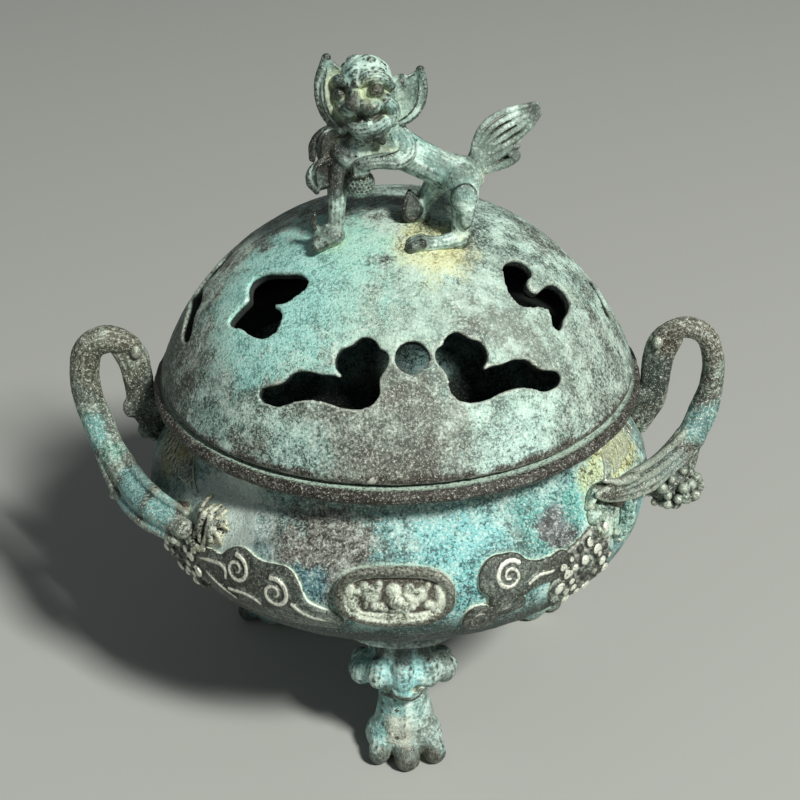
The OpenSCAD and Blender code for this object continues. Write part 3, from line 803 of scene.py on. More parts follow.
def make_legs():
    """A flared collar, a lobed cuff under the belly, a narrow ankle and a broad paw with three toes."""
    clay = [roll([(0, -33, 41, 9.4), (0, -33.4, 35, 8.4), (0, -33.4, 30, 6.0), (0, -34.0, 24, 6.4),
                  (0, -34.4, 18, 5.2), (0.2, -34.4, 14, 5.6), (0.3, -34.2, 9.5, 6.5),
                  (0.3, -34.0, 5, 7.2)])]
    for side in (-1, 1):
        clay += worm([(side * 0.6, -40.4, 33.4, 1.6), (side * 7.2, -39.4, 34.0, 1.7),
                      (side * 11.6, -36.2, 35.6, 1.7), (side * 13.8, -33.2, 38.4, 1.2)])
    for x, y, fat, top, low in ((-8.6, -35.2, 2.7, 23.2, 20.8), (-5.2, -38.4, 2.5, 25.4, 21.8),
                                (0.2, -39.8, 2.7, 26.2, 21.4), (5.6, -38.2, 2.5, 25.4, 21.8),
                                (9.0, -35.0, 2.7, 23.4, 20.8)):
        clay += worm([(x * 0.86, y + 2.2, top, fat * 0.75), (x, y, top - 0.8, fat),
                      (x * 1.02, y - 0.2, (top + low) / 2, fat), (x, y + 0.2, low, fat * 0.85),
                      (x * 0.9, y + 1.8, low - 0.8, fat * 0.6)])
    for side in (-1, 1):
        clay += worm([(side * 8.8, -30.4, 22.6, 1.9), (side * 9.2, -30.0, 21.4, 2.0),
                      (side * 8.8, -30.4, 20.0, 1.8)])
        clay += worm([(side * 5.2, -26.6, 26, 2.4), (side * 5.4, -26.2, 24, 2.6),
                      (side * 5.2, -26.6, 21.6, 2.1)])
    clay += [lump((0.2, -34.2, 24.2), (9.2, 5.6, 2.0)), lump((0.2, -33.6, 22.0), (10.2, 6.8, 2.9))]
    clay += worm([(-9.4, -34.2, 22.2, 2.4), (-7.0, -36.4, 22.9, 2.6), (-3.6, -38.4, 23.4, 2.6),
                  (0.2, -39.0, 23.6, 2.6), (4.0, -38.4, 23.4, 2.6), (7.4, -36.4, 22.9, 2.6),
                  (9.8, -34.2, 22.2, 2.4)])
    clay += worm([(-2.0, -41.2, 20.6, 0.8), (0.6, -41.6, 19.6, 1.0), (3.2, -40.4, 19.4, 0.8),
                  (4.4, -39.2, 20.4, 0.5)])
    clay += worm([(-4.4, -38.6, 18.4, 0.5), (-1.2, -39.6, 18.4, 0.8), (2.6, -39.2, 18.0, 0.6)])
    clay.append(lump((0.4, -35.6, 5.4), (7.6, 5.0, 6.4)))
    for toe, reach, fat in ((-1, 0.0, 2.6), (0, 1.8, 3.0), (1, 0.0, 2.6)):
        x = toe * 5.9 + 0.7
        clay += worm([(x * 0.86, -37.6 - reach * 0.6, 4.4, fat), (x, -39.0 - reach, 3.4, fat),
                      (x * 1.03, -39.8 - reach, 2.6, fat * 0.95)])
    clay += [lump((0.5, -36.6, 5.0), (8.2, 4.2, 4.8)), lump((0, -32.2, 4.4), (5.6, 5.0, 4.8))]
    clay += [lump((side * 4.8, -34.2, 4.0), (3.6, 4.6, 4.2)) for side in (-1, 1)]
    leg = cast("leg_front_cast", clay, grain=0.3, soften=2, wave=0.35, pit=0.22)
    for point in leg.data.vertices:
        point.co.z = max(point.co.z, 0.0)
    back_left = copy_turned(leg, "leg_back_left_cast", -120)
    back_right = copy_turned(leg, "leg_back_right_cast", 120)
    for piece, node in ((leg, "leg_front"), (back_left, "leg_back_left"), (back_right, "leg_back_right")):
        place(piece, "bowl", "patina_leg", PATINA_LEG, node)


# Handles

def on_neck(turn, height, out):
    """A point on the neck or the belly's shoulder by its turn in degrees and its height."""
    rise = height - BELLY_HEIGHT
    reach = NECK_REACH if height > NECK_FOOT else BELLY_CORE + math.sqrt(BELLY_ROUND ** 2 - rise ** 2)
    angle = math.radians(turn)
    return ((reach + out) * math.sin(angle), -(reach + out) * math.cos(angle), height)


def post(side):
    """The flat blade that stands on the neck and carries the arch, with its ragged edge, knob and root."""
    clay = []
    for x, y, fat in ((0.0, 0.5, 1.5), (1.3, 0.0, 1.6), (2.6, -0.4, 1.5)):
        clay += worm([(side * (51.9 + x), y, 61.4, fat * 0.8), (side * (54.2 + x), y, 67, fat),
                      (side * (54.9 + x), y, 72, fat), (side * (55.2 + x), y, 78, fat),
                      (side * (56.0 + x), y, 82.4, fat), (side * (57.6 + x), y, 84.6, fat)])
    clay += worm([(side * 55.4, -0.4, 62.6, 0.9), (side * 58.0, -0.4, 68, 1.2),
                  (side * 58.6, -0.4, 74, 1.3), (side * 59.2, -0.2, 79, 1.4), (side * 60.6, 0, 83, 1.6)])
    clay += worm([(side * 46.5, 0, 69.2, 2.3), (side * 51, 0, 68.8, 2.3), (side * 55.4, 0, 70.2, 2.0)])
    clay.append(lump((side * 56.4, -2.0, 83.4), (1.2, 1.1, 1.6)))
    return clay


def hair(side, count, seed):
    """Fine wavy strands that fan over the neck from the foot of the post."""
    way = random.Random(seed)
    clay = []
    for k in range(count):
        share = k / (count - 1)
        path = []
        for step in range(5):
            t = step / 4
            turn = 87 - 11 * share - (4 + 17 * share) * t + way.uniform(-0.9, 0.9)
            x, y, z = on_neck(turn, 72.8 - 0.6 * share - (8.6 - 1.0 * share) * t, 0.25)
            path.append((side * x, y, z, 0.46 - 0.2 * t))
        clay += worm(path)
    return clay


def beaded(way, count, centre, half, least, most):
    """Beads strewn over an egg-shaped tuft."""
    clay = []
    for _ in range(count):
        turn, lift = way.uniform(0, math.tau), math.asin(way.uniform(-1, 1))
        out = (math.cos(turn) * math.cos(lift), math.sin(turn) * math.cos(lift), math.sin(lift))
        clay.append(lump([c + h * o for c, h, o in zip(centre, half, out)], way.uniform(least, most)))
    return clay


def make_handles():
    """Each has a post on the neck, an arch, and a strap that sweeps forward over a beaded tuft."""
    beads = random.Random(5)
    clay = post(1) + hair(1, 26, 3)
    clay += worm([(57.6, 0, 84, 2.0), (60, 0, 85.5, 2.3), (63.4, 0, 86, 2.4), (67, 0, 84, 2.4),
                  (69, 0, 79, 2.4), (69.1, 0, 71.5, 2.7), (67.7, -1, 65.8, 3.3), (64.9, -4, 61, 3.2)])
    for up, out in ((2.8, -1.0), (0.9, 0.3), (-0.9, 0.5), (-2.8, 0.0)):
        clay += worm([(67.8 + out * 0.6, -1.6, 64.0 + up * 0.5, 1.2),
                      (64.8 + out, -5.0, 60.8 + up * 0.85, 1.0), (58.2 + out, -14.4, 60.3 + up, 0.85),
                      (50.4 + out, -26.6, 63.2 + up * 0.95, 0.8), (43.0, -33.6, 65.2 + up * 0.5, 0.7),
                      (40.4, -36.0, 66.4 + up * 0.1, 0.5)])
    clay += worm([(64.6, -2.8, 61.4, 2.4), (57.0, -13.0, 60.3, 2.0), (48.8, -24.8, 63.2, 1.7)])
    clay += worm([(49.2, -28.4, 66.0, 1.0), (45.0, -32.4, 67.2, 0.9), (42.0, -33.8, 68.4, 0.5)])
    clay.append(lump((60.4, -5.6, 49.6), (5.8, 3.6, 3.8)))
    clay += worm([(64.6, -4.4, 58.6, 2.4), (63.6, -4.2, 54, 2.8), (62, -4.2, 50, 3.0)])
    clay += beaded(beads, 64, (60.4, -5.6, 49.6), (6.8, 4.6, 4.6), 0.85, 1.4)
    right = cast("handle_right_cast", clay, grain=0.26, soften=1, wave=0.25, pit=0.14)

    clay = post(-1) + hair(-1, 24, 8)
    clay += [lump((-58.2, -0.6, 75.4), (1.6, 1.4, 2.2)), lump((-58.8, -0.8, 69.0), (1.9, 1.4, 2.6)),
             lump((-56.2, -0.6, 63.0), (1.8, 1.6, 2.0))]
    clay += worm([(-57.6, 0, 84, 2.2), (-60, 0, 85.2, 2.8), (-63.2, 0, 85.6, 3.1), (-66.6, 0, 83.6, 3.2),
                  (-68.2, 0, 79, 3.3), (-68.2, 0, 71.5, 3.4), (-66.6, -1.4, 65.4, 3.2),
                  (-63.8, -5.6, 61.2, 3.0), (-60.2, -11.6, 58.6, 2.8), (-52.8, -26, 58.8, 2.6),
                  (-44.6, -34.8, 59.2, 2.2)])
    clay += worm([(-65.4, -0.4, 71.0, 0.9), (-64.2, -1.6, 67.0, 1.2), (-62.2, -5.2, 63.4, 1.3),
                  (-58.6, -11.2, 61.2, 1.3), (-51.4, -24.4, 61.6, 1.2), (-44.2, -32.8, 61.8, 0.8)])
    clay += worm([(-67.0, -4.0, 62.0, 1.2), (-62.6, -12.0, 56.4, 1.3), (-54.8, -26.6, 56.2, 1.2),
                  (-46.6, -35.0, 56.6, 1.0)])
    for x, y, z in ((-65.0, -4.6, 56.6), (-62.4, -9.4, 54.0), (-59.2, -14.6, 53.4)):
        clay += worm([(x, y, z + 1.6, 1.5), (x + 0.4, y - 0.6, z - 1.6, 1.5),
                      (x + 2.0, y - 0.6, z - 4.4, 0.7)])
        clay += worm([(x + 1.6, y - 1.6, z + 1.0, 1.0), (x + 2.4, y - 2.0, z - 1.6, 1.1),
                      (x + 3.4, y - 1.8, z - 3.8, 0.5)])
    clay.append(lump((-60.6, -5.0, 50.6), (3.4, 2.6, 3.0)))
    clay += worm([(-64.0, -4.6, 58.0, 2.4), (-63.0, -4.6, 54, 2.6), (-61, -5, 51, 2.4)])
    clay += beaded(beads, 22, (-60.6, -5.0, 50.4), (3.6, 2.8, 3.2), 0.8, 1.2)
    left = cast("handle_left_cast", clay, grain=0.26, soften=1, wave=0.3, pit=0.16)
    place(right, "bowl", "dark_handle", DARK_HANDLE, "handle_right")
    place(left, "bowl", "dark_handle", DARK_HANDLE, "handle_left")


# Relief on the belly

def make_masks():
    """On the right a curled leaf of fur, on the left a beast's ribbed mask."""
    tufts = random.Random(12)
    clay = [lump((0, -1, 0), (4.4, 4.6, 0.5))]
    for high, fat in ((0.6, 1.1), (1.6, 1.0), (2.4, 0.7)):
        clay += worm([(-4.2, 3.6, high * 0.6, fat * 0.6), (-1.4, 5.2, high, fat), (2.0, 5.4, high, fat),
                      (5.2, 3.4, high, fat), (6.4, 0, high, fat), (5.4, -4.0, high, fat),
                      (2.4, -6.6, high * 0.6, fat * 0.6)])
    for _ in range(15):
        x, y = tufts.uniform(-4.2, 3.4), tufts.uniform(-5.6, 3.4)
        fat = tufts.uniform(0.9, 1.5)
        clay += worm([(x, y, 0.4, fat),
                      (x + tufts.uniform(-1.2, 1.2), y + tufts.uniform(-1.2, 1.2), 0.8, fat * 0.7)])
    right = cast("mask_right_cast", clay, grain=0.2, soften=1, pit=0.16)
    clay = [lump((0, -0.6, 0.1), (4.4, 4.6, 0.6))]
    for path in ([(-3.2, 4.6, 0.5, 0.4), (-3.4, 2.2, 1.1, 0.75), (-2.6, -0.6, 1.2, 0.6),
                  (-3.0, -3.6, 0.9, 0.7), (-4.0, -5.2, 0.5, 0.4)],
                 [(-1.2, 3.4, 0.6, 0.4), (-1.4, 1.2, 1.4, 0.85), (-1.8, -1.4, 1.3, 0.7),
                  (-1.2, -4.2, 0.9, 0.5)],
                 [(0.6, 4.2, 0.5, 0.35), (0.2, 2.0, 1.3, 0.7), (0.8, 0.2, 1.5, 0.9), (0.4, -2.6, 1.1, 0.6),
                  (-0.6, -5.4, 0.6, 0.4)],
                 [(2.6, 3.6, 0.6, 0.4), (2.2, 1.4, 1.4, 0.8), (1.6, -0.6, 1.5, 0.9), (1.8, -3.0, 1.0, 0.5)],
                 [(1.8, 0.2, 1.5, 0.8), (3.6, 0.8, 1.1, 0.6), (5.4, 0.4, 0.5, 0.25)],
                 [(2.0, -0.6, 1.4, 0.7), (3.6, -1.6, 1.0, 0.5), (4.6, -3.0, 0.5, 0.25)],
                 [(-5.2, -4.4, 0.6, 0.8), (-2.4, -6.0, 0.9, 0.9), (0.6, -5.6, 0.8, 0.6)]):
        clay += worm([(x, y, z, fat * tufts.uniform(0.85, 1.2)) for x, y, z, fat in path])
    left = cast("mask_left_cast", clay, grain=0.2, soften=1, pit=0.14)
    lay_on_belly(right, 51.5, 23)
    lay_on_belly(left, -46, 30)
    place(right, "bowl", "cream_mask", LEAF_MASK, "mask_right")
    place(left, "bowl", "cream_mask", CREAM_MASK, "mask_left")


def oval_outline(half, tall, count=28):
    """An oval a little squarer than an ellipse."""
    points = []
    for k in range(count):
        angle = k * math.tau / count
        c, s = math.cos(angle), math.sin(angle)
        points.append((half * math.copysign(abs(c) ** 0.72, c), tall * math.copysign(abs(s) ** 0.8, s)))
    return points


def make_medallions():
    """An oval frame round a worn beast's face."""
    worn = random.Random(31)
    frame_line = [(x, y, 0.9, 1.15 if y > -2.5 else 0.9) for x, y in oval_outline(10.8, 5.5, 20)]
    clay = [plate(oval_outline(10.6, 5.2), thick=0.4, edge=0.2), roll(frame_line, closed=True)]
    clay += [lump((-0.2, 1.7, 0.1), (1.8, 1.7, 0.9)), lump((0.3, -0.8, 0.3), (1.7, 1.4, 1.4)),
             lump((0.3, -2.8, 0.1), (1.9, 0.7, 0.7))]
    for side in (-1, 1):
        clay.append(lump((side * 4.6, 0.6, -0.2), (2.9, 2.6, 0.95)))
        clay += worm([(side * 8.6, 2.0, 0.3, 0.8), (side * 9.0, -0.4, 0.4, 1.0),
                      (side * 7.8, -2.8, 0.3, 0.9)])
        for _ in range(15):
            x, y = worn.uniform(1.9, 8.0), worn.uniform(-3.2, 3.2)
            clay.append(lump((side * x, y, 0.1),
                             (worn.uniform(0.5, 1.1), worn.uniform(0.6, 1.3), worn.uniform(0.7, 1.05)),
                             (0, 0, worn.uniform(-40, 40))))
    clay += worm([(-7.2, -3.6, 0.4, 0.6), (-3.0, -4.1, 0.4, 0.7), (2.4, -4.2, 0.4, 0.7),
                  (7.6, -3.6, 0.4, 0.6)])
    front = cast("medallion_front_cast", clay, grain=0.2, soften=2, pit=0.14)
    back = twin(front, "medallion_back_cast")
    lay_on_belly(front, -1.2, 7.6)
    lay_on_belly(back, 178.8, 7.6)
    place(front, "bowl", "dark_relief", DARK_RELIEF, "medallion_front")
    place(back, "bowl", "dark_relief", DARK_RELIEF, "medallion_back")


def cloud(name, outline, ridges):
    """A cloud plate with raised spiral ridges."""
    clay = [plate(outline, thick=1.2, edge=0.5)] + [roll(ridge) for ridge in ridges]
    return cast(name, clay, grain=0.22, soften=2, pit=0.1)


def make_scrolls():
    """Two clouds on the left and right, a small one below, and curls under the handles' straps."""
    left = cloud("left_cloud", [
        (-18.5, 0.6), (-14.5, 2.0), (-10.0, 2.4), (-8.0, 4.4), (-5.0, 5.5), (-2.2, 4.6), (-0.4, 4.2),
        (3.0, 4.4), (5.8, 4.2), (7.8, 2.2), (8.8, 0.0), (10.0, -2.0), (13.0, -3.2), (16.6, -4.0),
        (16.8, -6.0), (12.0, -7.2), (6.0, -7.6), (0.0, -7.6), (-6.0, -7.0), (-12.0, -5.4), (-17.0, -3.0)],
        [spiral((-5.6, 1.5), 3.0, 1.6, 100, -1, 0.6), spiral((3.4, -0.9), 3.3, 1.6, 110, -1, 0.62),
         [(-17.0, -0.4, 1.1, 0.4), (-12.5, 0.8, 1.2, 0.5), (-8.6, 0.6, 1.2, 0.5), (-8.4, -1.6, 1.2, 0.4)],
         [(7.0, -2.2, 1.2, 0.5), (10.0, -4.2, 1.2, 0.5), (15.6, -5.0, 1.1, 0.4)],
         [(-8.0, -3.6, 1.2, 0.5), (-2.0, -3.4, 1.2, 0.5), (0.2, -4.6, 1.2, 0.4)],
         [(-14.0, -2.2, 1.1, 0.5), (-11.0, -3.6, 1.2, 0.5), (-6.0, -5.4, 1.2, 0.4)]])
    right = cloud("right_cloud", [
        (-5.4, 2.8), (-3.6, 4.0), (-1.0, 4.1), (1.6, 3.6), (3.4, 1.9), (5.6, 1.0), (9.0, 0.6), (12.6, 0.8),
        (13.4, -1.4), (11.6, -3.4), (7.0, -3.4), (4.0, -4.0), (1.6, -5.0), (-2.4, -6.0), (-4.4, -5.2),
        (-4.6, -3.2), (-6.4, -1.4), (-6.4, 0.8)],
        [spiral((-0.6, 0.2), 3.1, 1.7, 40, 1, 0.62),
         [(3.2, -2.6, 1.1, 0.5), (5.6, -1.4, 1.1, 0.55), (8.6, -1.6, 1.1, 0.5), (11.4, -1.2, 1.0, 0.35)]])
    small = cloud("small_cloud", [
        (-2.9, 0), (-1.9, 2.2), (0.4, 2.8), (2.6, 2.2), (5.6, 3.4), (8.6, 3.2), (9.6, 1.6), (6.0, 0.2),
        (3.2, -0.8), (1.8, -2.4), (-0.6, -2.8), (-2.4, -1.8)],
        [spiral((0, 0), 2.0, 1.5, 60, 1, 0.42),
         [(2.6, 1.0, 1.1, 0.35), (5.6, 2.0, 1.15, 0.4), (8.4, 2.2, 1.1, 0.3)]])
    knots = random.Random(9)
    curls = [plate([(-8.5, -3), (-6, 3.6), (0, 6.2), (6, 7.0), (9, 3.4), (8.4, -1.6), (4.6, -5.6),
                    (-2, -6.4), (-7, -5.6)], thick=0.55, edge=0.3)]
    for k in range(30):
        row, step = divmod(k, 6)
        x = (step - 2.5) * 2.7 + 1.3 * (row % 2) + knots.uniform(-0.5, 0.5)
        y = (row - 2) * 2.3 + 0.25 * x + knots.uniform(-0.5, 0.5)
        fat = knots.uniform(0.9, 1.5)
        curls.append(lump((x, y, 0.55), (fat, fat, fat * 0.95)))
        if k % 3 == 0:
            curls.append(roll(spiral((x, y), fat * 0.9, 1.2, knots.uniform(0, 360), 1, 0.32,
                                     0.4 + fat * 0.8)))
    curls = cast("curls", curls, grain=0.22, soften=1, pit=0.14)
    for piece, turn, lift in ((left, -30, 4.6), (right, 23.4, 13.4), (small, 16.2, -15.4), (curls, 42, -2)):
        lay_on_belly(piece, turn, lift)
    more = twin(curls, "more_curls")
    more.data.transform(Matrix.Scale(-1, 4, (1, 0, 0)))
    more.data.flip_normals()
    spin_about_axis(more, -13)
    front = joined([left, right, small, curls, more])
    front.name = "cloud_scrolls_front_cast"
    front.data.name = "cloud_scrolls_front_cast"
    smooth(front)
    back = copy_turned(front, "cloud_scrolls_back_cast", 180)
    place(front, "bowl", "dark_relief", SCROLL_RELIEF, "cloud_scrolls_front")
    place(back, "bowl", "dark_relief", SCROLL_RELIEF, "cloud_scrolls_back")


# Lion

def up_on_lid(piece):
    """Lifts a piece of the lion on to the top of the lid."""
    piece.data.transform(Matrix.Translation(mm((0, 0, LION_BASE))))


def make_lion_body():
    """Trunk, hind legs with the near haunch, a straight foreleg, and the other one raised on the ball."""
    clay = worm([(-8.6, -9, 14.6, 4.5), (-4, -9, 15.4, 4.5), (0.4, -9, 14.9, 4.2), (5.0, -9, 12.6, 3.8),
                 (9.6, -9, 10.2, 3.7), (14, -9, 8.4, 4.3)])
    clay += worm([(13.4, -11.0, 8.4, 3.9), (14.0, -12.0, 4.8, 3.0), (13.6, -12.8, 1.4, 2.2),
                  (13.2, -13.6, -2.0, 1.8)])
    clay += [lump((13.9, -15.2, 6.4), (2.8, 1.5, 3.2), (0, 10, 0)),
             lump((14.5, -15.3, 3.0), (1.5, 1.2, 3.6), (0, 6, 0))]
    clay += worm([(13.6, -13.8, -3.0, 1.9), (9.0, -15.0, -3.4, 1.6), (5.4, -15.9, -3.2, 1.9)])
    for k in (-1, 0, 1):
        clay += worm([(5.4, -15.8 + k * 1.3, -2.6, 1.2), (3.4, -16.2 + k * 1.4, -3.2, 1.1)])
    clay += worm([(9.8, -6.6, 7.6, 3.0), (7.4, -6.2, 4.0, 2.2), (5.4, -6.2, 0.6, 1.7),
                  (5.2, -6.6, -0.8, 1.7)])
    clay += worm([(5.8, -6.6, -0.8, 1.7), (2.8, -7.2, -0.7, 1.6)])
    clay.append(leaf((3.6, -8.4, -1.4), (3.2, -7.8, 5.4), 4.2, (0.3, -1, 0.2), cup=0.6, thick=0.9,
                     belly=0.8))
    clay += worm([(-10.2, -9.4, 13.4, 3.0), (-11.2, -10.6, 8.0, 2.2), (-11.5, -11.8, 3.0, 1.8),
                  (-11.8, -12.2, 0.0, 1.7), (-12.4, -12.6, -2.8, 2.1)])
    clay += [lump((-12.8, -12.8, -2.2), (2.9, 2.6, 2.4)), lump((-14.6, -13.4, -3.0), (2.2, 2.4, 1.9))]
    for k in (-1, 0, 1):
        clay += worm([(-14.0, -13.6 + k * 1.3, -3.0, 1.1), (-15.8, -14.0 + k * 1.4, -3.9, 1.0)])
    clay += worm([(-15.4, -12.8, -1.8, 1.0), (-16.2, -13.0, 0.6, 0.8), (-15.9, -13.0, 2.6, 0.4)])
    clay += worm([(0.8, -9.6, 18.4, 2.1), (2.9, -12.0, 16.2, 1.9), (2.0, -13.8, 14.4, 1.8),
                  (-3.0, -14.6, 14.2, 1.6), (-6.4, -14.2, 13.2, 1.5), (-7.4, -13.4, 11.8, 1.2)])
    clay += worm([(2.6, -13.0, 16.0, 0.6), (-1.0, -15.2, 15.4, 0.5), (-5.0, -15.2, 14.8, 0.45)])
    for k in (-1, 0, 1):
        clay += worm([(-6.2 + k * 1.1, -14.4, 12.8, 0.8), (-6.6 + k * 1.2, -14.8, 11.2, 0.6)])
    body = cast("lion_body_cast", clay, grain=0.24, soften=3, wave=0.2, pit=0.1)
    up_on_lid(body)
    place(body, "lid", "lion_bronze", LION_BRONZE, "lion_body")


HEAD_AT = Vector((-4.4, -10.0, 26.6))
AHEAD = Vector((-0.4, -0.917, 0.0)).normalized()
RIGHT = AHEAD.cross(Vector((0, 0, 1))).normalized() * 0.978 - Vector((0, 0, 0.208))
ABOVE = RIGHT.cross(AHEAD)


def on_head(right, above, ahead):
    """A point by the lion's own head: to its right, above and ahead of the skull."""
    return tuple(HEAD_AT + RIGHT * right + ABOVE * above + AHEAD * ahead)


def on_head_path(path):
    """The same for points with a radius."""
    return [(*on_head(r, u, f), fat) for r, u, f, fat in path]


def make_lion_head():
    """Skull with curls, brows, eyes, muzzle, jaw and beard, big ears, mane, and shells beside the chest."""
    knobs = random.Random(21)
    clay = [lump(HEAD_AT, (5.7, 5.6, 5.4)), lump(on_head(0.3, 3.0, -0.4), (5.2, 5.0, 4.4))]
    for k in range(15):
        turn, lift = knobs.uniform(-100, 100), knobs.uniform(14, 80)
        a, b = math.radians(turn), math.radians(lift)
        fat = knobs.uniform(0.9, 1.5)
        clay.append(lump(on_head(0.3 + 4.6 * math.sin(a) * math.cos(b), 3.2 + 3.6 * math.sin(b),
                                 -0.4 + 4.4 * math.cos(a) * math.cos(b)),
                         (fat, fat, fat * 0.8)))
    for side in (-1, 1):
        clay += worm(on_head_path([(side * 1.2, 3.6, 5.2, 0.9), (side * 3.2, 4.4, 4.6, 1.2),
                                   (side * 5.2, 3.4, 2.9, 1.1), (side * 6.0, 1.4, 1.8, 0.8)]))
        clay.append(lump(on_head(side * 3.9, 1.6, 4.4), (1.5, 1.5, 1.7)))
        clay.append(lump(on_head(side * 2.5, -1.0, 5.2), (2.3, 2.0, 1.6)))
        clay.append(lump(on_head(side * 1.3, 0.0, 6.8), (1.0, 1.0, 0.9)))
        clay += worm(on_head_path([(side * 5.0, -0.6, 3.6, 1.3), (side * 5.6, -3.0, 2.4, 1.4),
                                   (side * 4.6, -5.4, 2.2, 1.2)]))
        clay.append(lump(on_head(side * 2.2, -2.6, 5.6), (0.5, 0.5, 0.8)))
    clay.append(lump(on_head(-0.5, 3.5, 5.3), 1.1))
    clay += worm(on_head_path([(0, 2.6, 5.2, 0.9), (0, 0.8, 6.4, 1.3)]))
    clay.append(lump(on_head(0.2, 0.1, 7.1), (1.8, 1.5, 1.4)))
    clay += [lump(on_head(x, -3.9, 5.4), (0.6, 0.6, 0.7)) for x in (-1.4, 0.2)]
    clay += worm(on_head_path([(-3.8, -4.8, 2.6, 1.4), (-2.2, -5.5, 4.4, 1.7), (0, -5.6, 5.2, 1.8),
                               (2.2, -5.4, 4.4, 1.6), (3.8, -4.6, 2.8, 1.3)]))
    clay.append(lump(on_head(0, -6.0, 2.4), (3.6, 3.4, 2.4)))
    for k in range(3):
        x = (k - 1) * 2.0
        clay += worm(on_head_path([(x, -7.6, 4.6 - 0.5 * abs(k - 1), 1.1),
                                   (x * 1.1, -8.9, 3.8 - 0.5 * abs(k - 1), 0.8)]))
    for root, tip, width, face in (((-8.6, -11.0, 19.0), (-12.6, -9.2, 33.6), 7.4, (0.35, -1, 0.3)),
                                   ((0.2, -10.6, 20.6), (5.6, -9.2, 30.8), 6.0, (-0.25, -1, 0.35))):
        clay.append(leaf(root, tip, width, face, cup=0.5, thick=1.0, belly=1.0))
        ear, end = Vector(root), Vector(tip)
        out = (end - ear).cross(Vector((0, -1, 0))).normalized() * (width * 0.5)
        out = out if (out.x > 0) == (end.x > 0) else -out
        clay += worm([(*(ear + out * 0.3 - Vector((0, 0.6, 0))), 0.6),
                      (*(ear.lerp(end, 0.35) + out * 0.95 - Vector((0, 1.4, 0))), 0.75),
                      (*(ear.lerp(end, 0.72) + out * 0.8 - Vector((0, 1.2, 0))), 0.8), (*end, 0.9)])
    clay += worm([(-8.6, -8.6, 27, 2.6), (-10.2, -9, 29.2, 1.6)])
    clay += worm([(-0.4, -8.6, 27, 2.6), (2.0, -9, 28.4, 1.6)])
    clay += worm([(-4, -6, 25, 5.2), (-4, -6, 20, 4.8), (-5, -7.4, 17, 4.4)])
    for k in range(4):
        angle = math.radians(-56 + 28 * k)
        x, y = math.sin(angle), math.cos(angle)
        clay += worm([(-4.6 + 4.4 * x, -7.8 + 4.0 * y, 28.0, 1.4),
                      (-4.6 + 4.6 * x, -7.8 + 4.6 * y, 23.6, 1.4),
                      (-4.6 + 4.6 * x, -7.8 + 4.6 * y, 19.0, 1.0)])
    clay.append(leaf((-9.2, -10.0, 19.6), (-14.4, -10.8, 11.6), 8.2, (0.2, -1, 0.1), cup=0.75, thick=1.1,
                     belly=0.7))
    clay += worm([(-9.2, -11.6, 20.2, 0.7), (-12.4, -12.0, 20.2, 0.8), (-15.6, -12.2, 17.4, 0.8),
                  (-16.0, -12.0, 14.0, 0.7)])
    clay.append(leaf((-12.0, -10.6, 13.4), (-15.4, -10.8, 6.6), 6.0, (0.3, -1, 0.2), cup=0.7, thick=1.0,
                     belly=0.7))
    clay += worm([(-12.6, -11.6, 13.6, 0.6), (-16.0, -12.0, 12.0, 0.7), (-16.8, -11.8, 9.0, 0.7),
                  (-15.4, -11.2, 6.6, 0.6)])
    clay += worm([(-2.4, -8.6, 22, 3.8), (-1.2, -9.0, 18.6, 4.0), (-0.4, -9.2, 16.4, 3.6)])
    head = cast("lion_head_cast", clay, grain=0.18, soften=1, pit=0.16)
    up_on_lid(head)
    place(head, "lid", "lion_bronze", LION_BRONZE, "lion_head")


def make_lion_tail():
    """A plume of five strands with a curl below it."""
    clay = worm([(15.8, -8.4, 8.6, 2.2), (16.8, -7.8, 11.4, 2.1), (17.6, -7.2, 13.6, 1.9)])
    for k in range(5):
        spread = (k - 2) / 2
        clay += worm([(16.6 + 0.5 * spread, -8.2, 10.6 - 0.3 * spread, 0.6),
                      (17.7 + 1.5 * spread, -8.4, 14.0 - 1.1 * spread, 0.6),
                      (21.2 + 2.1 * spread, -8.4, 17.7 - 2.4 * spread, 0.62),
                      (26.0 + 1.2 * spread, -8.0, 20.3 - 2.0 * spread, 0.6),
                      (28.8 + 0.3 * spread, -7.2, 21.8 - 0.9 * spread, 0.65)])
    clay.append(leaf((17.0, -6.4, 11.2), (28.6, -6.2, 21.6), 6.0, (0.2, -1, 0.3), cup=0.0, thick=1.4,
                     belly=0.9, bend=-0.05))
    clay += worm([(17.4, -8.0, 10.2, 0.9), (20.0, -7.9, 11.7, 0.9), (23.0, -7.8, 13.6, 0.9),
                  (24.7, -7.6, 14.2, 0.8)])
    clay += worm([(17.4, -8.0, 9.2, 0.9), (20.6, -7.9, 9.9, 0.9), (23.6, -7.8, 11.2, 1.0),
                  (24.7, -7.8, 12.4, 0.9), (23.6, -8.2, 12.7, 0.7)])
    clay.append(leaf((17.4, -6.8, 9.8), (24.6, -6.6, 12.6), 3.6, (0.2, -1, 0.3), cup=0.0, thick=1.4,
                     belly=0.9))
    tail = cast("lion_tail_cast", clay, grain=0.15, soften=1, pit=0.1)
    up_on_lid(tail)
    place(tail, "lid", "lion_bronze", TAIL_BRONZE, "lion_tail")


BALL_AT = (-6.7, -12, 8.6)


def make_ball():
    """A ball wrapped in a net of cords."""
    clear()
    bpy.ops.mesh.primitive_ico_sphere_add(subdivisions=3, radius=2.85 * MM, location=mm(BALL_AT))
    net = bpy.context.object
    settle(net)
    work(net, "WIREFRAME", thickness=0.42 * MM)
    ball = cast("brocade_ball_cast", [lump(BALL_AT, 2.72), net], grain=0.14, soften=1)
    up_on_lid(ball)
    place(ball, "lid", "lion_bronze", LION_BRONZE, "brocade_ball")


make_bowl()
make_lid()
make_legs()
make_handles()
make_masks()
make_medallions()
make_scrolls()
make_lion_body()
make_lion_head()
make_lion_tail()
make_ball()

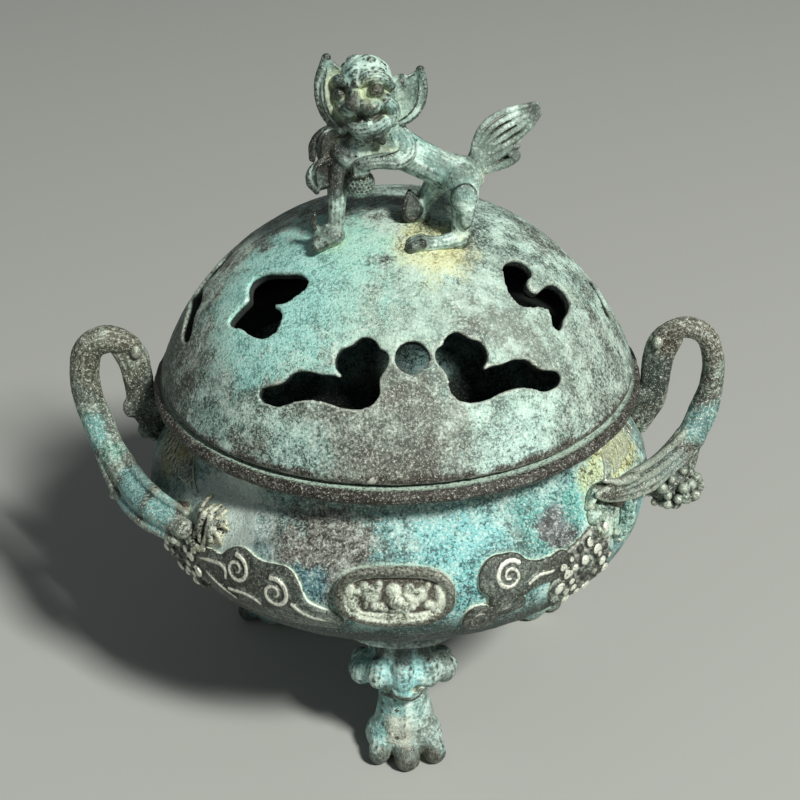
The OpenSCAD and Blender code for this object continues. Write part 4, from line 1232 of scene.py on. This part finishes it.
for node in ("leg_rivets", "handle_rivets"):
    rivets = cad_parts[node]
    rivets.data.materials.clear()
    rivets.data.materials.append(RIVET_BRONZE)


# Floor, light and camera

def make_floor():
    """A plain pale floor."""
    clear()
    bpy.ops.mesh.primitive_plane_add(size=8, location=(0, 0, 0))
    floor = bpy.context.object
    floor.name = "floor"
    paint = bpy.data.materials.new("floor_paint")
    paint.use_nodes = True
    shader = paint.node_tree.nodes["Principled BSDF"]
    shader.inputs["Base Color"].default_value = (*shade(162, 166, 162), 1)
    shader.inputs["Roughness"].default_value = 0.7
    floor.data.materials.append(paint)


LIGHTS_AIM = Vector((0, 0, 0.06))


def make_light(name, place_at, size, power, tint):
    """A square lamp that looks at the burner."""
    clear()
    bpy.ops.object.light_add(type="AREA", location=place_at)
    lamp = bpy.context.object
    lamp.name = name
    lamp.data.energy = power
    lamp.data.size = size
    lamp.data.color = tint
    lamp.rotation_euler = (LIGHTS_AIM - Vector(place_at)).to_track_quat("-Z", "Y").to_euler()


make_floor()
make_light("key", (0.92, -1.12, 1.5), size=0.3, power=64.0, tint=(1.0, 0.97, 0.92))
make_light("fill", (-0.7, -0.6, 0.7), size=0.9, power=0.4, tint=(0.92, 0.97, 1.0))

world = bpy.data.worlds.new("studio")
bpy.context.scene.world = world
world.use_nodes = True
world.node_tree.nodes["Background"].inputs["Color"].default_value = (0.9, 0.92, 0.95, 1)
world.node_tree.nodes["Background"].inputs["Strength"].default_value = 0.13

# The camera as fitted to the lid's edge: its place in metres, dip and roll in degrees
CAMERA_AT = (0.00053, -0.33429, 0.25658)
CAMERA_DIP = 29.271
CAMERA_ROLL = -1.0
eye = bpy.data.cameras.new("camera")
camera = bpy.data.objects.new("camera", eye)
bpy.context.collection.objects.link(camera)
eye.sensor_width = 36.0
eye.sensor_fit = "HORIZONTAL"
eye.lens = 77.97
camera.matrix_world = (Matrix.Translation(CAMERA_AT)
                       @ Matrix.Rotation(math.radians(90 - CAMERA_DIP), 4, "X")
                       @ Matrix.Rotation(math.radians(CAMERA_ROLL), 4, "Z"))
bpy.context.scene.camera = camera
bpy.context.scene.view_settings.view_transform = "Standard"
